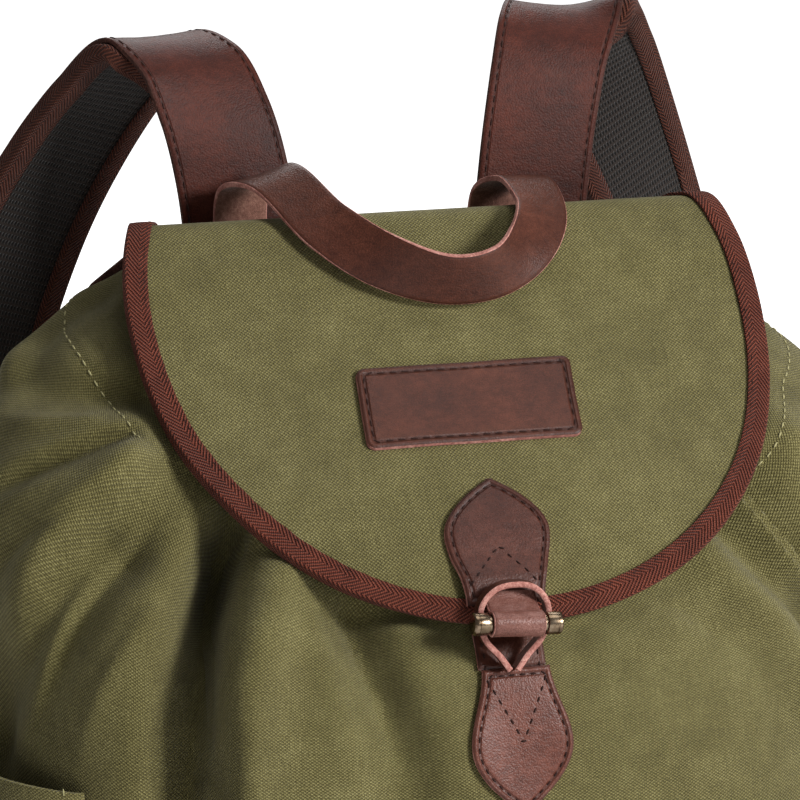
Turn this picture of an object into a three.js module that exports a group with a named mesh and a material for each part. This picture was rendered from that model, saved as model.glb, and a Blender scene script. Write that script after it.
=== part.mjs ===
// Canvas rucksack: a soft sack with a flap, a toggle and loop closure, a leather carry handle,
// two padded shoulder straps and two side pockets. Millimetres, +Z up, front towards -Y,
// origin at the middle of the flat base.
import * as THREE from 'three';

// Driving dimensions of the sack.
const bodyHeight = 420;
const bodyWidth = 430;
const bodyDepth = 194;
const canvas = 2;
const gap = 0.3;
const softGap = 0.9;
const tapeSeat = 1.3;
const padSeat = 1.7;

// Flap, its twill tape and the leather pieces on it.
const flapWidth = 296;
const flapShift = 4;
const flapCanvas = 2;
const tapeFace = 10.5;
const tapeWall = 1;
const leather = 2.4;
const labelWidth = 100;
const labelHeight = 42;
const labelCorner = 4;
const tabWidth = 48;
const tabLength = 58;
const tabNeck = 35.5;
const tabWidest = 0.45;
const tabPoint = 1.5;
const lowerTabWidth = 47;
const lowerTabLength = 61;
const lowerTabWidest = 0.48;

// Toggle and loop.
const toggleShift = -4;
const barLength = 41;
const barRadius = 5;
const barCap = 7.2;
const barWaist = 3.9;
const barChamfer = 0.8;
const barClearance = 0.1;
const barDrop = 6;
const barTilt = THREE.MathUtils.degToRad(3.5);
const tongueClearance = 1.5;
const loopShift = -3;
const loopWidth = 32;
const loopStrip = 6;
const loopThickness = 3.2;
const loopRise = 11;
const loopFoot = 1.8;
const loopSeat = 1.5;
const loopSeatUp = 2;
const tabBelowBar = 19;
const neckWidth = 31;
const neckHeight = 19;
const neckThickness = 1.8;

// Handle and shoulder straps.
const handleWidth = 25;
const handleThickness = 2.6;
const strapWidth = 54;
const strapThickness = 2.6;
const padWidth = 62;
const padThickness = 5;
const padTaper = 8;
const strapTapeFace = 11;
const strapStandoff = 68;
const lowerStrapWidth = 25;
const lowerStrapThickness = 2.4;

// Back of the bag and side pockets.
const backPanelThickness = 4;
const backPanelOverlap = 4;
const backPanelTop = 0.945;
const backPanelCorner = 0.86;
const boardThickness = 3;
const yokeHeight = 62;
const yokeTop = 0.978;
const yokeHalf = 0.655;
const yokeCorner = 12.4;
const lowerFootOut = 0.62;
const lowerFootUp = 0.05;
const pocketWall = 1.8;
const pocketSeat = 2;
const pocketBulge = 18;
const pocketRound = 0.6;

// Mesh steps.
const aroundSteps = 52;
const upSteps = 20;
const frontColumns = 9;
const seamRow = 10;
const flapRows = 22;
const flapColumns = 12;
const strapSteps = 28;
const padStartStep = 8;
const handleSteps = 22;
const lowerStrapSteps = 12;

const halfWidth = bodyWidth / 2;
const backY = bodyDepth * 0.557;

// Layers behind the back panel, each a gap behind the one in front.
const flapSeatY = backY + backPanelThickness + gap;
const handleSeatY = flapSeatY + flapCanvas + gap;
const yokeSeatY = handleSeatY + handleThickness + gap;
const strapSeatY = yokeSeatY + leather + gap;

// Sections of the sack from the base to the gathered mouth. back and front are heights at the
// back panel and at the front, as shares of bodyHeight; wide and rear are half widths at the side
// and at the back panel, as shares of half the bodyWidth; deep is the reach forward from the back
// panel, as a share of bodyDepth.
const sections = [
  { back: 0.000, front: 0.000, wide: 0.74, rear: 0.650, deep: 0.918 },
  { back: 0.081, front: 0.081, wide: 0.88, rear: 0.740, deep: 0.985 },
  { back: 0.214, front: 0.205, wide: 0.955, rear: 0.765, deep: 1.000 },
  { back: 0.357, front: 0.333, wide: 0.99, rear: 0.770, deep: 0.985 },
  { back: 0.505, front: 0.452, wide: 1.00, rear: 0.770, deep: 0.935 },
  { back: 0.655, front: 0.543, wide: 1.00, rear: 0.765, deep: 0.900 },
  { back: 0.786, front: 0.607, wide: 0.975, rear: 0.750, deep: 0.855 },
  { back: 0.886, front: 0.662, wide: 0.915, rear: 0.715, deep: 0.775 },
  { back: 0.940, front: 0.745, wide: 0.80, rear: 0.650, deep: 0.665 },
  { back: 0.960, front: 0.812, wide: 0.69, rear: 0.600, deep: 0.550 },
  { back: 0.974, front: 0.857, wide: 0.60, rear: 0.555, deep: 0.450 },
];
const sideDepth = 0.26;
const sideFixed = 0.4;
const squareness = 0.82;
const slopePower = 1.6;
const frontShare = 0.7;

// Folds pressed into the sack. around runs from -1 at the left back edge over 0 at the front to
// +1 at the right back edge; up runs from 0 at the base to 1 at the mouth. width and height are
// shares of bodyDepth; a negative height is a groove.
const folds = [
  { around: -0.262, up: 0.74, toAround: -0.315, toUp: 0.32, width: 0.068, height: -0.130 },
  { around: -0.195, up: 0.72, toAround: -0.240, toUp: 0.32, width: 0.055, height: 0.050 },
  { around: 0.290, up: 0.78, toAround: 0.400, toUp: 0.44, width: 0.080, height: -0.120 },
  { around: 0.205, up: 0.74, toAround: 0.310, toUp: 0.46, width: 0.060, height: 0.045 },
  { around: -0.460, up: 0.78, toAround: -0.690, toUp: 0.54, width: 0.100, height: 0.055 },
  { around: -0.500, up: 0.87, toAround: -0.780, toUp: 0.68, width: 0.070, height: -0.040 },
  { around: -0.420, up: 0.68, toAround: -0.620, toUp: 0.42, width: 0.070, height: -0.050 },
  { around: 0.470, up: 0.78, toAround: 0.700, toUp: 0.52, width: 0.100, height: 0.045 },
  { around: -0.125, up: 0.68, toAround: -0.075, toUp: 0.38, width: 0.055, height: -0.035 },
  { around: -0.080, up: 0.66, toAround: -0.030, toUp: 0.40, width: 0.050, height: 0.022 },
  { around: -0.050, up: 0.12, toAround: 0.160, toUp: 0.22, width: 0.090, height: -0.025 },
  { around: -0.830, up: 0.90, toAround: -0.790, toUp: 0.79, width: 0.150, height: -0.042 },
  { around: -0.790, up: 0.70, toAround: -0.760, toUp: 0.60, width: 0.130, height: 0.032 },
];
const rightSlump = 0.045;

// Course of the flap over the middle, from its seam on the back to its tip: forward is the
// distance from the seam as a share of bodyDepth, up the height as a share of bodyHeight.
const flapCourse = [
  { forward: 0.000, up: 0.900 },
  { forward: 0.000, up: 0.955 },
  { forward: 0.022, up: 0.988 },
  { forward: 0.079, up: 1.010 },
  { forward: 0.188, up: 1.0238 },
  { forward: 0.273, up: 0.9925 },
  { forward: 0.367, up: 0.9385 },
  { forward: 0.547, up: 0.8497 },
  { forward: 0.719, up: 0.7738 },
  { forward: 0.833, up: 0.7080 },
  { forward: 0.875, up: 0.6740 },
  { forward: 0.889, up: 0.6460 },
];
const flapTopShare = 0.17;
const flapWideShare = 0.43;
const flapRoundPower = 2.15;
const flapBackNarrow = 0.86;
const flapTipAngle = 84;
const flapCrown = 7;
const flapRoll = 1.5;

const vector = (x, y, z) => new THREE.Vector3(x, y, z);
const clamp01 = (value) => Math.min(1, Math.max(0, value));
const radians = THREE.MathUtils.degToRad;
const smooth = (value) => THREE.MathUtils.smoothstep(value, 0, 1);

// Smooth value of one column of a table at a share of the table's length.
function along(table, column, share) {
  const place = clamp01(share) * (table.length - 1);
  const row = Math.min(Math.floor(place), table.length - 2);
  const value = (index) => table[Math.min(Math.max(index, 0), table.length - 1)][column];
  const t = place - row;
  const [a, b, c, d] = [value(row - 1), value(row), value(row + 1), value(row + 2)];
  return b + 0.5 * t * (c - a + t * (2 * a - 5 * b + 4 * c - d + t * (3 * (b - c) + d - a)));
}

// Turns a list of corner points and faces into a closed body whose faces point outwards.
function body(points, faces) {
  let volume = 0;
  for (const [a, b, c] of faces) {
    volume += points[a].dot(new THREE.Vector3().crossVectors(points[b], points[c]));
  }
  const turned = volume < 0 ? faces.map(([a, b, c]) => [a, c, b]) : faces;
  const geometry = new THREE.BufferGeometry();
  const numbers = points.flatMap((point) => [point.x, point.y, point.z]);
  geometry.setAttribute('position', new THREE.Float32BufferAttribute(numbers, 3));
  geometry.setIndex(turned.flat());
  geometry.computeVertexNormals();
  return geometry;
}

// Closed wall between an outer and an inner grid of points, both rows by columns.
function wall(outer, inner) {
  const rows = outer.length;
  const columns = outer[0].length;
  const points = [...outer.flat(), ...inner.flat()];
  const half = rows * columns;
  const at = (row, column, side) => side * half + row * columns + column;
  const faces = [];
  const quad = (a, b, c, d) => faces.push([a, b, c], [a, c, d]);
  for (let row = 0; row < rows - 1; row++) {
    for (let column = 0; column < columns - 1; column++) {
      quad(at(row, column, 0), at(row, column + 1, 0), at(row + 1, column + 1, 0), at(row + 1, column, 0));
      quad(at(row, column, 1), at(row + 1, column, 1), at(row + 1, column + 1, 1), at(row, column + 1, 1));
    }
  }
  for (let column = 0; column < columns - 1; column++) {
    quad(at(0, column, 0), at(0, column, 1), at(0, column + 1, 1), at(0, column + 1, 0));
    const last = rows - 1;
    quad(at(last, column, 0), at(last, column + 1, 0), at(last, column + 1, 1), at(last, column, 1));
  }
  for (let row = 0; row < rows - 1; row++) {
    quad(at(row, 0, 0), at(row + 1, 0, 0), at(row + 1, 0, 1), at(row, 0, 1));
    const last = columns - 1;
    quad(at(row, last, 0), at(row, last, 1), at(row + 1, last, 1), at(row + 1, last, 0));
  }
  return body(points, faces);
}

// Body swept through rings of points, one for each station, with flat ends.
function sweep(rings, outline) {
  const count = rings[0].length;
  const points = rings.flat();
  const faces = [];
  for (let ring = 0; ring < rings.length - 1; ring++) {
    for (let side = 0; side < count; side++) {
      const a = ring * count + side;
      const b = ring * count + (side + 1) % count;
      faces.push([a, b, b + count], [a, b + count, a + count]);
    }
  }
  const ends = THREE.ShapeUtils.triangulateShape(outline.map(([x, y]) => new THREE.Vector2(x, y)), []);
  const last = (rings.length - 1) * count;
  const turn = THREE.ShapeUtils.area(outline.map(([x, y]) => new THREE.Vector2(x, y))) > 0;
  for (const [a, b, c] of ends) {
    faces.push(turn ? [a, c, b] : [a, b, c]);
    faces.push(turn ? [last + a, last + b, last + c] : [last + a, last + c, last + b]);
  }
  return body(points, faces);
}

// Strip with the given outline, in (across, out) coordinates, along a course of stations. The
// across direction turns about the upright axis by each station's turn, in degrees.
function strip(stations, shares, outline) {
  const path = new THREE.CatmullRomCurve3(stations.map(({ at }) => at), false, 'centripetal');
  const rings = [];
  for (const t of shares) {
    const centre = path.getPoint(t);
    const tangent = path.getTangent(t);
    const { across, out } = stationFrame(stations, tangent, t);
    rings.push(outline.map(([a, b]) => centre.clone().addScaledVector(across, a).addScaledVector(out, b)));
  }
  return sweep(rings, outline);
}

const evenShares = (steps) => Array.from({ length: steps + 1 }, (_, step) => step / steps);

function stationFrame(stations, tangent, t) {
  const turn = radians(along(stations, 'turn', t));
  const tip = radians(along(stations, 'tip', t));
  const across = vector(Math.cos(turn) * Math.cos(tip), Math.sin(turn) * Math.cos(tip), Math.sin(tip));
  across.addScaledVector(tangent, -across.dot(tangent)).normalize();
  const out = new THREE.Vector3().crossVectors(across, tangent).normalize();
  return { across, out };
}

// Rectangle from the left to the right of a strip, between two heights over its course.
function rectangle(left, right, low, high) {
  return [[left, low], [right, low], [right, high], [left, high]];
}

// Flat plate upright behind the bag, with its outline in x and z.
function plate(outline, nearY, thickness) {
  const shape = new THREE.Shape(outline.map(([x, z]) => new THREE.Vector2(x, z)));
  const geometry = new THREE.ExtrudeGeometry(shape, { depth: thickness, bevelEnabled: false });
  geometry.rotateX(Math.PI / 2);
  geometry.translate(0, nearY + thickness, 0);
  return geometry;
}

// Sack surface without its folds, at a share around and a share up.
function plainSack(around, up) {
  const wide = along(sections, 'wide', up) * halfWidth;
  const rear = along(sections, 'rear', up) * halfWidth;
  const frontY = backY - along(sections, 'deep', up) * bodyDepth;
  const sideReach = sideFixed + (1 - sideFixed) * along(sections, 'deep', up);
  const sideY = backY - sideDepth * bodyDepth * sideReach;
  const share = Math.abs(around);
  const hand = Math.sign(around);
  let x;
  let y;
  if (share <= frontShare) {
    const angle = share / frontShare * Math.PI / 2;
    x = wide * Math.sin(angle) ** squareness;
    y = sideY - (sideY - frontY) * Math.cos(angle) ** squareness;
  } else {
    const angle = (share - frontShare) / (1 - frontShare) * Math.PI / 2;
    x = rear + (wide - rear) * Math.cos(angle);
    y = sideY + (backY - gap - sideY) * Math.sin(angle);
  }
  const forward = clamp01((backY - y) / (backY - frontY));
  const low = along(sections, 'front', up) * bodyHeight;
  const high = along(sections, 'back', up) * bodyHeight;
  const slump = hand > 0 ? rightSlump * bodyHeight * smooth(share / 0.45) * smooth((1 - share) / 0.2)
    * smooth((up - 0.35) / 0.4) : 0;
  return vector(hand * x, y, low + (high - low) * (1 - forward ** slopePower) - slump);
}

// Height of the folds at a place on the sack.
function foldHeight(around, up) {
  const girth = halfWidth * 1.55;
  const rise = bodyHeight * 1.15;
  let height = 0;
  for (const fold of folds) {
    const start = new THREE.Vector2(fold.around * girth, fold.up * rise);
    const end = new THREE.Vector2(fold.toAround * girth, fold.toUp * rise);
    const run = end.clone().sub(start);
    const place = new THREE.Vector2(around * girth, up * rise).sub(start);
    const share = clamp01(place.dot(run) / run.lengthSq());
    const apart = place.distanceTo(run.clone().multiplyScalar(share));
    const width = fold.width * bodyDepth;
    height += fold.height * bodyDepth * Math.exp(-((apart / width) ** 2));
  }
  return height;
}

function slopes(surface, around, up) {
  const step = 0.004;
  const a = surface(Math.min(around + step, 1), up).sub(surface(Math.max(around - step, -1), up));
  const b = surface(around, Math.min(up + step, 1)).sub(surface(around, Math.max(up - step, 0)));
  return new THREE.Vector3().crossVectors(a, b).normalize();
}

function sack(around, up, lift = 0) {
  const plain = plainSack(around, up);
  const square = smooth((Math.abs(around) - 0.85) / 0.15);
  const outward = slopes(plainSack, around, up).lerp(vector(0, 1, 0), square).normalize();
  const edge = smooth((1 - Math.abs(around)) / 0.28) * smooth(up / 0.08) * smooth((1 - up) / 0.06);
  return plain.addScaledVector(outward, foldHeight(around, up) * edge + lift);
}

// Place on the front of the sack at a given x and z. spread grows evenly with x where the share
// around does not.
function sackAt(x, z, lift = 0) {
  const around = (spread) => Math.sign(spread) * Math.abs(spread) ** (1 / squareness);
  const pace = 0.4;
  let spread = 0;
  let up = 0.5;
  for (let round = 0; round < 30; round++) {
    const point = sack(around(spread), up);
    up += (z - point.z) / bodyHeight * 2 * pace;
    spread += (x - point.x) / halfWidth * pace;
  }
  return sack(around(spread), up, lift);
}

// Panels of the sack, sewn edge to edge. left and right are columns counted from the middle of the
// front, low and high are rows counted from the base.
const sackPanels = [
  { name: 'sack_front', left: -frontColumns, right: frontColumns, low: 0, high: seamRow },
  { name: 'sack_front_top', left: -frontColumns, right: frontColumns, low: seamRow, high: upSteps },
  { name: 'sack_side_left', left: -aroundSteps / 2, right: -frontColumns, low: 0, high: seamRow },
  { name: 'sack_side_left_top', left: -aroundSteps / 2, right: -frontColumns, low: seamRow, high: upSteps },
  { name: 'sack_side_right', left: frontColumns, right: aroundSteps / 2, low: 0, high: seamRow },
  { name: 'sack_side_right_top', left: frontColumns, right: aroundSteps / 2, low: seamRow, high: upSteps },
];

function sackPanel({ left, right, low, high }) {
  const seamAround = gap / 2 / halfWidth;
  const seamUp = gap / 2 / bodyHeight;
  const outer = [];
  const inner = [];
  for (let row = low; row <= high; row++) {
    const outerRow = [];
    const innerRow = [];
    let up = row / upSteps;
    if (row === low && low > 0) up += seamUp;
    if (row === high && high < upSteps) up -= seamUp;
    for (let column = left; column <= right; column++) {
      let around = 2 * column / aroundSteps;
      if (column === left && left > -aroundSteps / 2) around += seamAround;
      if (column === right && right < aroundSteps / 2) around -= seamAround;
      outerRow.push(sack(around, up));
      const inside = sack(around, up, -canvas);
      if (row === 0) inside.z = 0;
      innerRow.push(inside);
    }
    outer.push(outerRow);
    inner.push(innerRow);
  }
  return wall(outer, inner);
}

// Base board inside the foot of the sack.
function basePanel() {
  const inset = canvas + gap;
  const points = [];
  for (let column = 0; column <= aroundSteps; column++) {
    const around = -1 + 2 * column / aroundSteps;
    const outward = slopes(plainSack, around, 0).setZ(0).normalize();
    const point = plainSack(around, 0).addScaledVector(outward, -inset);
    points.push(new THREE.Vector2(point.x, point.y));
  }
  return new THREE.ExtrudeGeometry(new THREE.Shape(points), { depth: boardThickness, bevelEnabled: false });
}

// Outline of the back panel from the sections' rear widths, rounded at its upper corners.
function backOutline(overlap, low, high) {
  const right = [];
  const steps = 14;
  for (let step = 0; step <= steps; step++) {
    const up = step / steps * 0.9;
    const z = along(sections, 'back', up) * bodyHeight;
    if (z > low && z < high) right.push([along(sections, 'rear', up) * halfWidth + overlap, z]);
  }
  const first = [right[0][0] - (low > 0 ? 0 : overlap), low];
  const last = [right[right.length - 1][0] * backPanelCorner, high];
  const half = [first, ...right, last];
  return [...half, ...half.map(([x, z]) => [-x, z]).reverse()];
}

function backPanel() {
  return plate(backOutline(backPanelOverlap, 0, bodyHeight * backPanelTop), backY, backPanelThickness);
}

function backYoke() {
  const top = bodyHeight * yokeTop;
  const half = halfWidth * yokeHalf;
  const low = top - yokeHeight;
  const right = [
    [half * 1.03, low], [half * 1.05, top - yokeCorner * 1.7], [half, top - yokeCorner], [half * 0.88, top],
  ];
  return plate([...right, ...right.map(([x, z]) => [-x, z]).reverse()], yokeSeatY, leather);
}

const flapFaceY = flapSeatY + flapCanvas;
const flapCurve = new THREE.CatmullRomCurve3(
  flapCourse.map(({ forward, up }) => vector(0, flapFaceY - forward * bodyDepth, up * bodyHeight)),
  false, 'centripetal',
);
flapCurve.arcLengthDivisions = 400;
const flapRun = flapCurve.getLength();

// Half width of the flap at a share of its run.
function flapHalf(share) {
  const widest = flapWidth / 2;
  if (share < flapWideShare) {
    const rise = (flapWideShare - share) / (flapWideShare - flapTopShare);
    const narrow = 1 - (1 - flapBackNarrow) * Math.min(rise, 1.15) ** 2;
    return widest * narrow;
  }
  const fall = (share - flapWideShare) / (1 - flapWideShare);
  return widest * Math.max(0, 1 - fall ** flapRoundPower) ** (1 / flapRoundPower);
}

// Flap surface at x and a share of its run, raised by lift along its own normal.
function flapAt(x, share, lift = 0) {
  const centre = flapCurve.getPointAt(clamp01(share));
  const tangent = flapCurve.getTangentAt(clamp01(share));
  const normal = vector(0, tangent.z, -tangent.y);
  if (share > 1) centre.addScaledVector(tangent, (share - 1) * flapRun);
  const off = (x - flapShift) / (flapWidth / 2);
  const drop = flapCrown * smooth((share - 0.45) / 0.5) * off ** 2;
  const roll = flapRoll * smooth((Math.abs(off) - 0.8) / 0.25) * smooth((share - 0.15) / 0.2);
  return centre.add(vector(x, 0, 0)).addScaledVector(normal, lift - drop - roll);
}

// Shares of the run at which the flap's rows lie, closer together round the tip.
function flapShares(rows) {
  const shares = [];
  const backRows = Math.round(rows * 0.55);
  for (let row = 0; row < backRows; row++) shares.push((row / backRows) ** 1.25 * flapWideShare);
  for (let row = 0; row <= rows - backRows; row++) {
    const angle = radians(flapTipAngle) * row / (rows - backRows);
    shares.push(flapWideShare + (1 - flapWideShare) * Math.sin(angle) ** (2 / flapRoundPower));
  }
  return shares;
}

function flapSheet() {
  const inset = tapeWall + tapeSeat;
  const outer = [];
  const inner = [];
  for (const edgeShare of flapShares(flapRows)) {
    const near = 0.001;
    const slope = (flapHalf(edgeShare + near) - flapHalf(edgeShare - near)) / (2 * near * flapRun);
    const half = flapHalf(edgeShare) - inset / Math.hypot(1, slope);
    const share = edgeShare + inset * Math.min(slope, 0) / Math.hypot(1, slope) / flapRun;
    const outerRow = [];
    const innerRow = [];
    for (let column = 0; column <= flapColumns; column++) {
      const x = flapShift + half * Math.sin(Math.PI / 2 * (2 * column / flapColumns - 1));
      outerRow.push(flapAt(x, share));
      innerRow.push(flapAt(x, share, -flapCanvas));
    }
    outer.push(outerRow);
    inner.push(innerRow);
  }
  return wall(outer, inner);
}

// Points on the flap's edge, from the left end of its seam round the tip to the right end.
function flapEdge() {
  const start = 0.06;
  const shares = flapShares(flapRows).filter((share) => share >= start);
  const left = shares.map((share) => ({ side: -1, share }));
  const right = left.map(({ share }) => ({ side: 1, share })).reverse();
  return [...left, ...right];
}

// Twill tape folded round the edge of the flap: a channel with one leg on each face.
function flapTape() {
  const edge = flapEdge();
  const flat = edge.map(({ side, share }) => new THREE.Vector2(
    flapShift + side * flapHalf(share), share * flapRun,
  ));
  const reach = tapeFace;
  const over = tapeSeat + tapeWall;
  const outline = [
    [0, over], [reach, over], [reach, tapeSeat], [tapeWall, tapeSeat],
    [tapeWall, -flapCanvas - tapeSeat], [reach, -flapCanvas - tapeSeat],
    [reach, -flapCanvas - over], [0, -flapCanvas - over],
  ];
  const rings = flat.map((point, index) => {
    const before = flat[Math.max(index - 1, 0)];
    const after = flat[Math.min(index + 1, flat.length - 1)];
    const run = after.clone().sub(before).normalize();
    const inward = new THREE.Vector2(run.y, -run.x);
    return outline.map(([a, b]) => flapAt(point.x + inward.x * a, (point.y + inward.y * a) / flapRun, b));
  });
  return sweep(rings, outline);
}

// Leather piece lying on a surface: half widths at the rows' places give its outline.
function patch(rows, columns, halfAt, placeAt, lift, thickness) {
  const outer = [];
  const inner = [];
  for (let row = 0; row <= rows; row++) {
    const share = (1 - Math.cos(Math.PI * row / rows)) / 2;
    const outerRow = [];
    const innerRow = [];
    for (let column = 0; column <= columns; column++) {
      const x = halfAt(share) * (2 * column / columns - 1);
      outerRow.push(placeAt(x, share, lift + thickness));
      innerRow.push(placeAt(x, share, lift));
    }
    outer.push(outerRow);
    inner.push(innerRow);
  }
  return wall(outer, inner);
}

const labelShare = 0.622;
const tabStart = 0.765;

function labelPatch() {
  const half = (share) => {
    const fromEnd = Math.min(share, 1 - share) * labelHeight;
    const inside = Math.max(0, labelCorner - fromEnd);
    return labelWidth / 2 - labelCorner + Math.sqrt(Math.max(0, labelCorner ** 2 - inside ** 2));
  };
  const place = (x, share, lift) => flapAt(x, labelShare + (share - 0.5) * labelHeight / flapRun, lift);
  return patch(8, 10, (share) => Math.max(half(share), labelWidth / 2 - labelCorner), place, gap, leather);
}

// Half width of a leaf-shaped tab: a point at one end, widest in the middle, a straight other end.
function leafHalf(share, width, neck, widest) {
  const point = Math.max(share / widest, 0.0001);
  if (share < widest) return width / 2 * Math.sin(Math.min(point, 1) * Math.PI / 2) ** 0.85;
  const fall = smooth((share - widest) / (1 - widest));
  return width / 2 + (neck / 2 - width / 2) * fall;
}

function flapTab() {
  const half = (share) => Math.max(tabPoint, leafHalf(share, tabWidth, tabNeck, tabWidest));
  const overTape = tapeWall + tapeSeat;
  const place = (x, share, lift) => {
    const rise = overTape * smooth((share - 0.62) / 0.2);
    return flapAt(x + toggleShift * share, tabStart + share * tabLength / flapRun, lift + rise);
  };
  return patch(10, 6, half, place, gap, leather);
}

// Bar of the toggle in front of the loop, which lies in front of the flap's tip and of the sack.
const tabEndShare = tabStart + tabLength / flapRun;
const tabEnd = flapAt(0, tabEndShare, tapeSeat + tapeWall + gap + leather);
const barHeight = tabEnd.z - barDrop;
const lowerTabTop = barHeight - barRadius - tabBelowBar;
const loopNearY = Math.min(sackAt(0, lowerTabTop + loopSeatUp, gap + leather).y, tabEnd.y) - loopSeat;
const barCentre = vector(toggleShift, loopNearY - loopStrip - barClearance - barRadius, barHeight);

function toggleBar() {
  const end = barLength / 2;
  const face = barRadius * 0.9;
  const neck = end - barCap - barChamfer / 2;
  const profile = [
    [0, -end], [face, -end], [barRadius, -end + barChamfer], [barRadius, -end + barCap], [barWaist, -neck],
    [barWaist, neck], [barRadius, end - barCap], [barRadius, end - barChamfer], [face, end], [0, end],
  ];
  const geometry = new THREE.LatheGeometry(profile.map(([r, y]) => new THREE.Vector2(r, y)), 14);
  geometry.rotateZ(-Math.PI / 2);
  geometry.rotateY(barTilt);
  geometry.translate(barCentre.x, barCentre.y, barCentre.z);
  return geometry;
}

// Tongue from the end of the tab round the bar, open at the back.
function toggleTongue() {
  const inside = barWaist + gap;
  const outline = [];
  const turns = 10;
  const start = 20;
  const end = 325;
  for (let step = 0; step <= turns; step++) {
    const angle = radians(start + (end - start) * step / turns);
    outline.push([Math.cos(angle) * (inside + leather), Math.sin(angle) * (inside + leather)]);
  }
  for (let step = turns; step >= 0; step--) {
    const angle = radians(start + (end - start) * step / turns);
    outline.push([Math.cos(angle) * inside, Math.sin(angle) * inside]);
  }
  const half = barLength / 2 - barCap - tongueClearance;
  const shape = new THREE.Shape(outline.map(([a, b]) => new THREE.Vector2(a, b)));
  const geometry = new THREE.ExtrudeGeometry(shape, { depth: 2 * half, bevelEnabled: false });
  geometry.rotateY(Math.PI / 2);
  geometry.rotateX(Math.PI / 2);
  geometry.translate(-half, 0, 0);
  geometry.rotateY(barTilt);
  geometry.translate(barCentre.x, barCentre.y, barCentre.z);
  return geometry;
}

function bodyTab() {
  const half = (share) => Math.max(tabPoint, leafHalf(share, lowerTabWidth, neckWidth, lowerTabWidest));
  const place = (x, share, lift) => sackAt(x, lowerTabTop - (1 - share) * lowerTabLength, lift);
  return patch(10, 6, half, place, softGap, leather);
}

// Leather backing of the loop, from the lower tab up under the tip of the flap.
function closureNeck() {
  const place = (x, share, lift) => sackAt(x + loopShift / 2, lowerTabTop + gap + share * neckHeight, lift);
  return patch(4, 4, () => neckWidth / 2, place, softGap, neckThickness);
}

// Loop that holds the bar: a narrow strip, edge on, in a drop-shaped ring.
function closureLoop() {
  const top = barCentre.z + barRadius + leather + loopRise;
  const half = loopWidth / 2;
  const low = lowerTabTop + loopFoot;
  const course = [
    { x: 0.11, up: 0 }, { x: 0.38, up: 0.16 }, { x: 0.80, up: 0.36 }, { x: 0.98, up: 0.56 },
    { x: 0.90, up: 0.80 }, { x: 0.52, up: 0.96 },
  ];
  const whole = [...course, { x: 0, up: 1 }, ...course.map(({ x, up }) => ({ x: -x, up })).reverse()];
  const points = whole.map(({ x, up }) => vector(loopShift + half * x, loopNearY, low + (top - low) * up));
  const path = new THREE.CatmullRomCurve3(points, false, 'centripetal');
  const rings = [];
  const steps = 28;
  const outline = rectangle(-loopThickness / 2, loopThickness / 2, 0, loopStrip);
  for (let step = 0; step <= steps; step++) {
    const centre = path.getPoint(step / steps);
    const tangent = path.getTangent(step / steps);
    const inward = vector(-tangent.z, 0, tangent.x).normalize();
    rings.push(outline.map(([a, b]) => centre.clone().addScaledVector(inward, a).add(vector(0, -b, 0))));
  }
  return sweep(rings, outline);
}

// Course of the carry handle. out is a share of half the bodyWidth, forward the distance in front
// of the handle's seat and up the height, both as shares of bodyHeight; turn and tip aim its width.
const handleCourse = [
  { out: -0.335, forward: 0.000, up: 0.945, turn: 0, tip: 0 },
  { out: -0.335, forward: 0.001, up: 0.990, turn: 0, tip: 0 },
  { out: -0.330, forward: 0.010, up: 1.046, turn: 4, tip: 6 },
  { out: -0.294, forward: 0.062, up: 1.065, turn: 15, tip: 22 },
  { out: -0.220, forward: 0.134, up: 1.022, turn: 40, tip: 52 },
  { out: -0.125, forward: 0.174, up: 0.990, turn: 68, tip: 84 },
  { out: 0.000, forward: 0.197, up: 0.970, turn: 90, tip: 110 },
  { out: 0.110, forward: 0.194, up: 0.974, turn: 110, tip: 100 },
  { out: 0.200, forward: 0.165, up: 0.995, turn: 138, tip: 62 },
  { out: 0.262, forward: 0.114, up: 1.024, turn: 162, tip: 26 },
  { out: 0.262, forward: 0.055, up: 1.048, turn: 176, tip: 4 },
  { out: 0.238, forward: 0.008, up: 1.030, turn: 180, tip: 0 },
  { out: 0.230, forward: 0.000, up: 0.990, turn: 180, tip: 0 },
  { out: 0.230, forward: 0.000, up: 0.945, turn: 180, tip: 0 },
];

function carryHandle() {
  const stations = handleCourse.map(({ out, forward, up, turn, tip }) => ({
    at: vector(out * halfWidth, handleSeatY + handleThickness / 2 - forward * bodyHeight, up * bodyHeight),
    turn, tip,
  }));
  const half = handleWidth / 2;
  const thick = handleThickness / 2;
  return strip(stations, evenShares(handleSteps), rectangle(-half, half, -thick, thick));
}

// Course of a shoulder strap from the yoke over its crest and down behind the back. out is a
// share of half the bodyWidth, behind a share of strapStandoff, up a share of bodyHeight; left and
// right turn the width of that strap about the upright, in degrees.
const strapCourse = [
  { out: 0.322, behind: 0.00, up: 0.885, left: 0, right: 0 },
  { out: 0.322, behind: 0.00, up: 0.975, left: 0, right: 0 },
  { out: 0.340, behind: 0.03, up: 1.060, left: 3, right: 0 },
  { out: 0.370, behind: 0.11, up: 1.135, left: 7, right: 0 },
  { out: 0.410, behind: 0.27, up: 1.190, left: 11, right: -1 },
  { out: 0.470, behind: 0.56, up: 1.209, left: 16, right: 1 },
  { out: 0.550, behind: 0.87, up: 1.152, left: 17, right: 9 },
  { out: 0.640, behind: 1.10, up: 1.060, left: 15, right: 17 },
  { out: 0.720, behind: 1.24, up: 0.965, left: 12, right: 22 },
  { out: 0.800, behind: 1.30, up: 0.840, left: 8, right: 22 },
  { out: 0.850, behind: 1.20, up: 0.700, left: 4, right: 16 },
  { out: 0.850, behind: 0.92, up: 0.540, left: 0, right: 10 },
  { out: 0.810, behind: 0.60, up: 0.400, left: 0, right: 5 },
];
const leftCrestDrop = 0.014;
const crestShare = 0.42;
const crestPull = 1.6;

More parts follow.
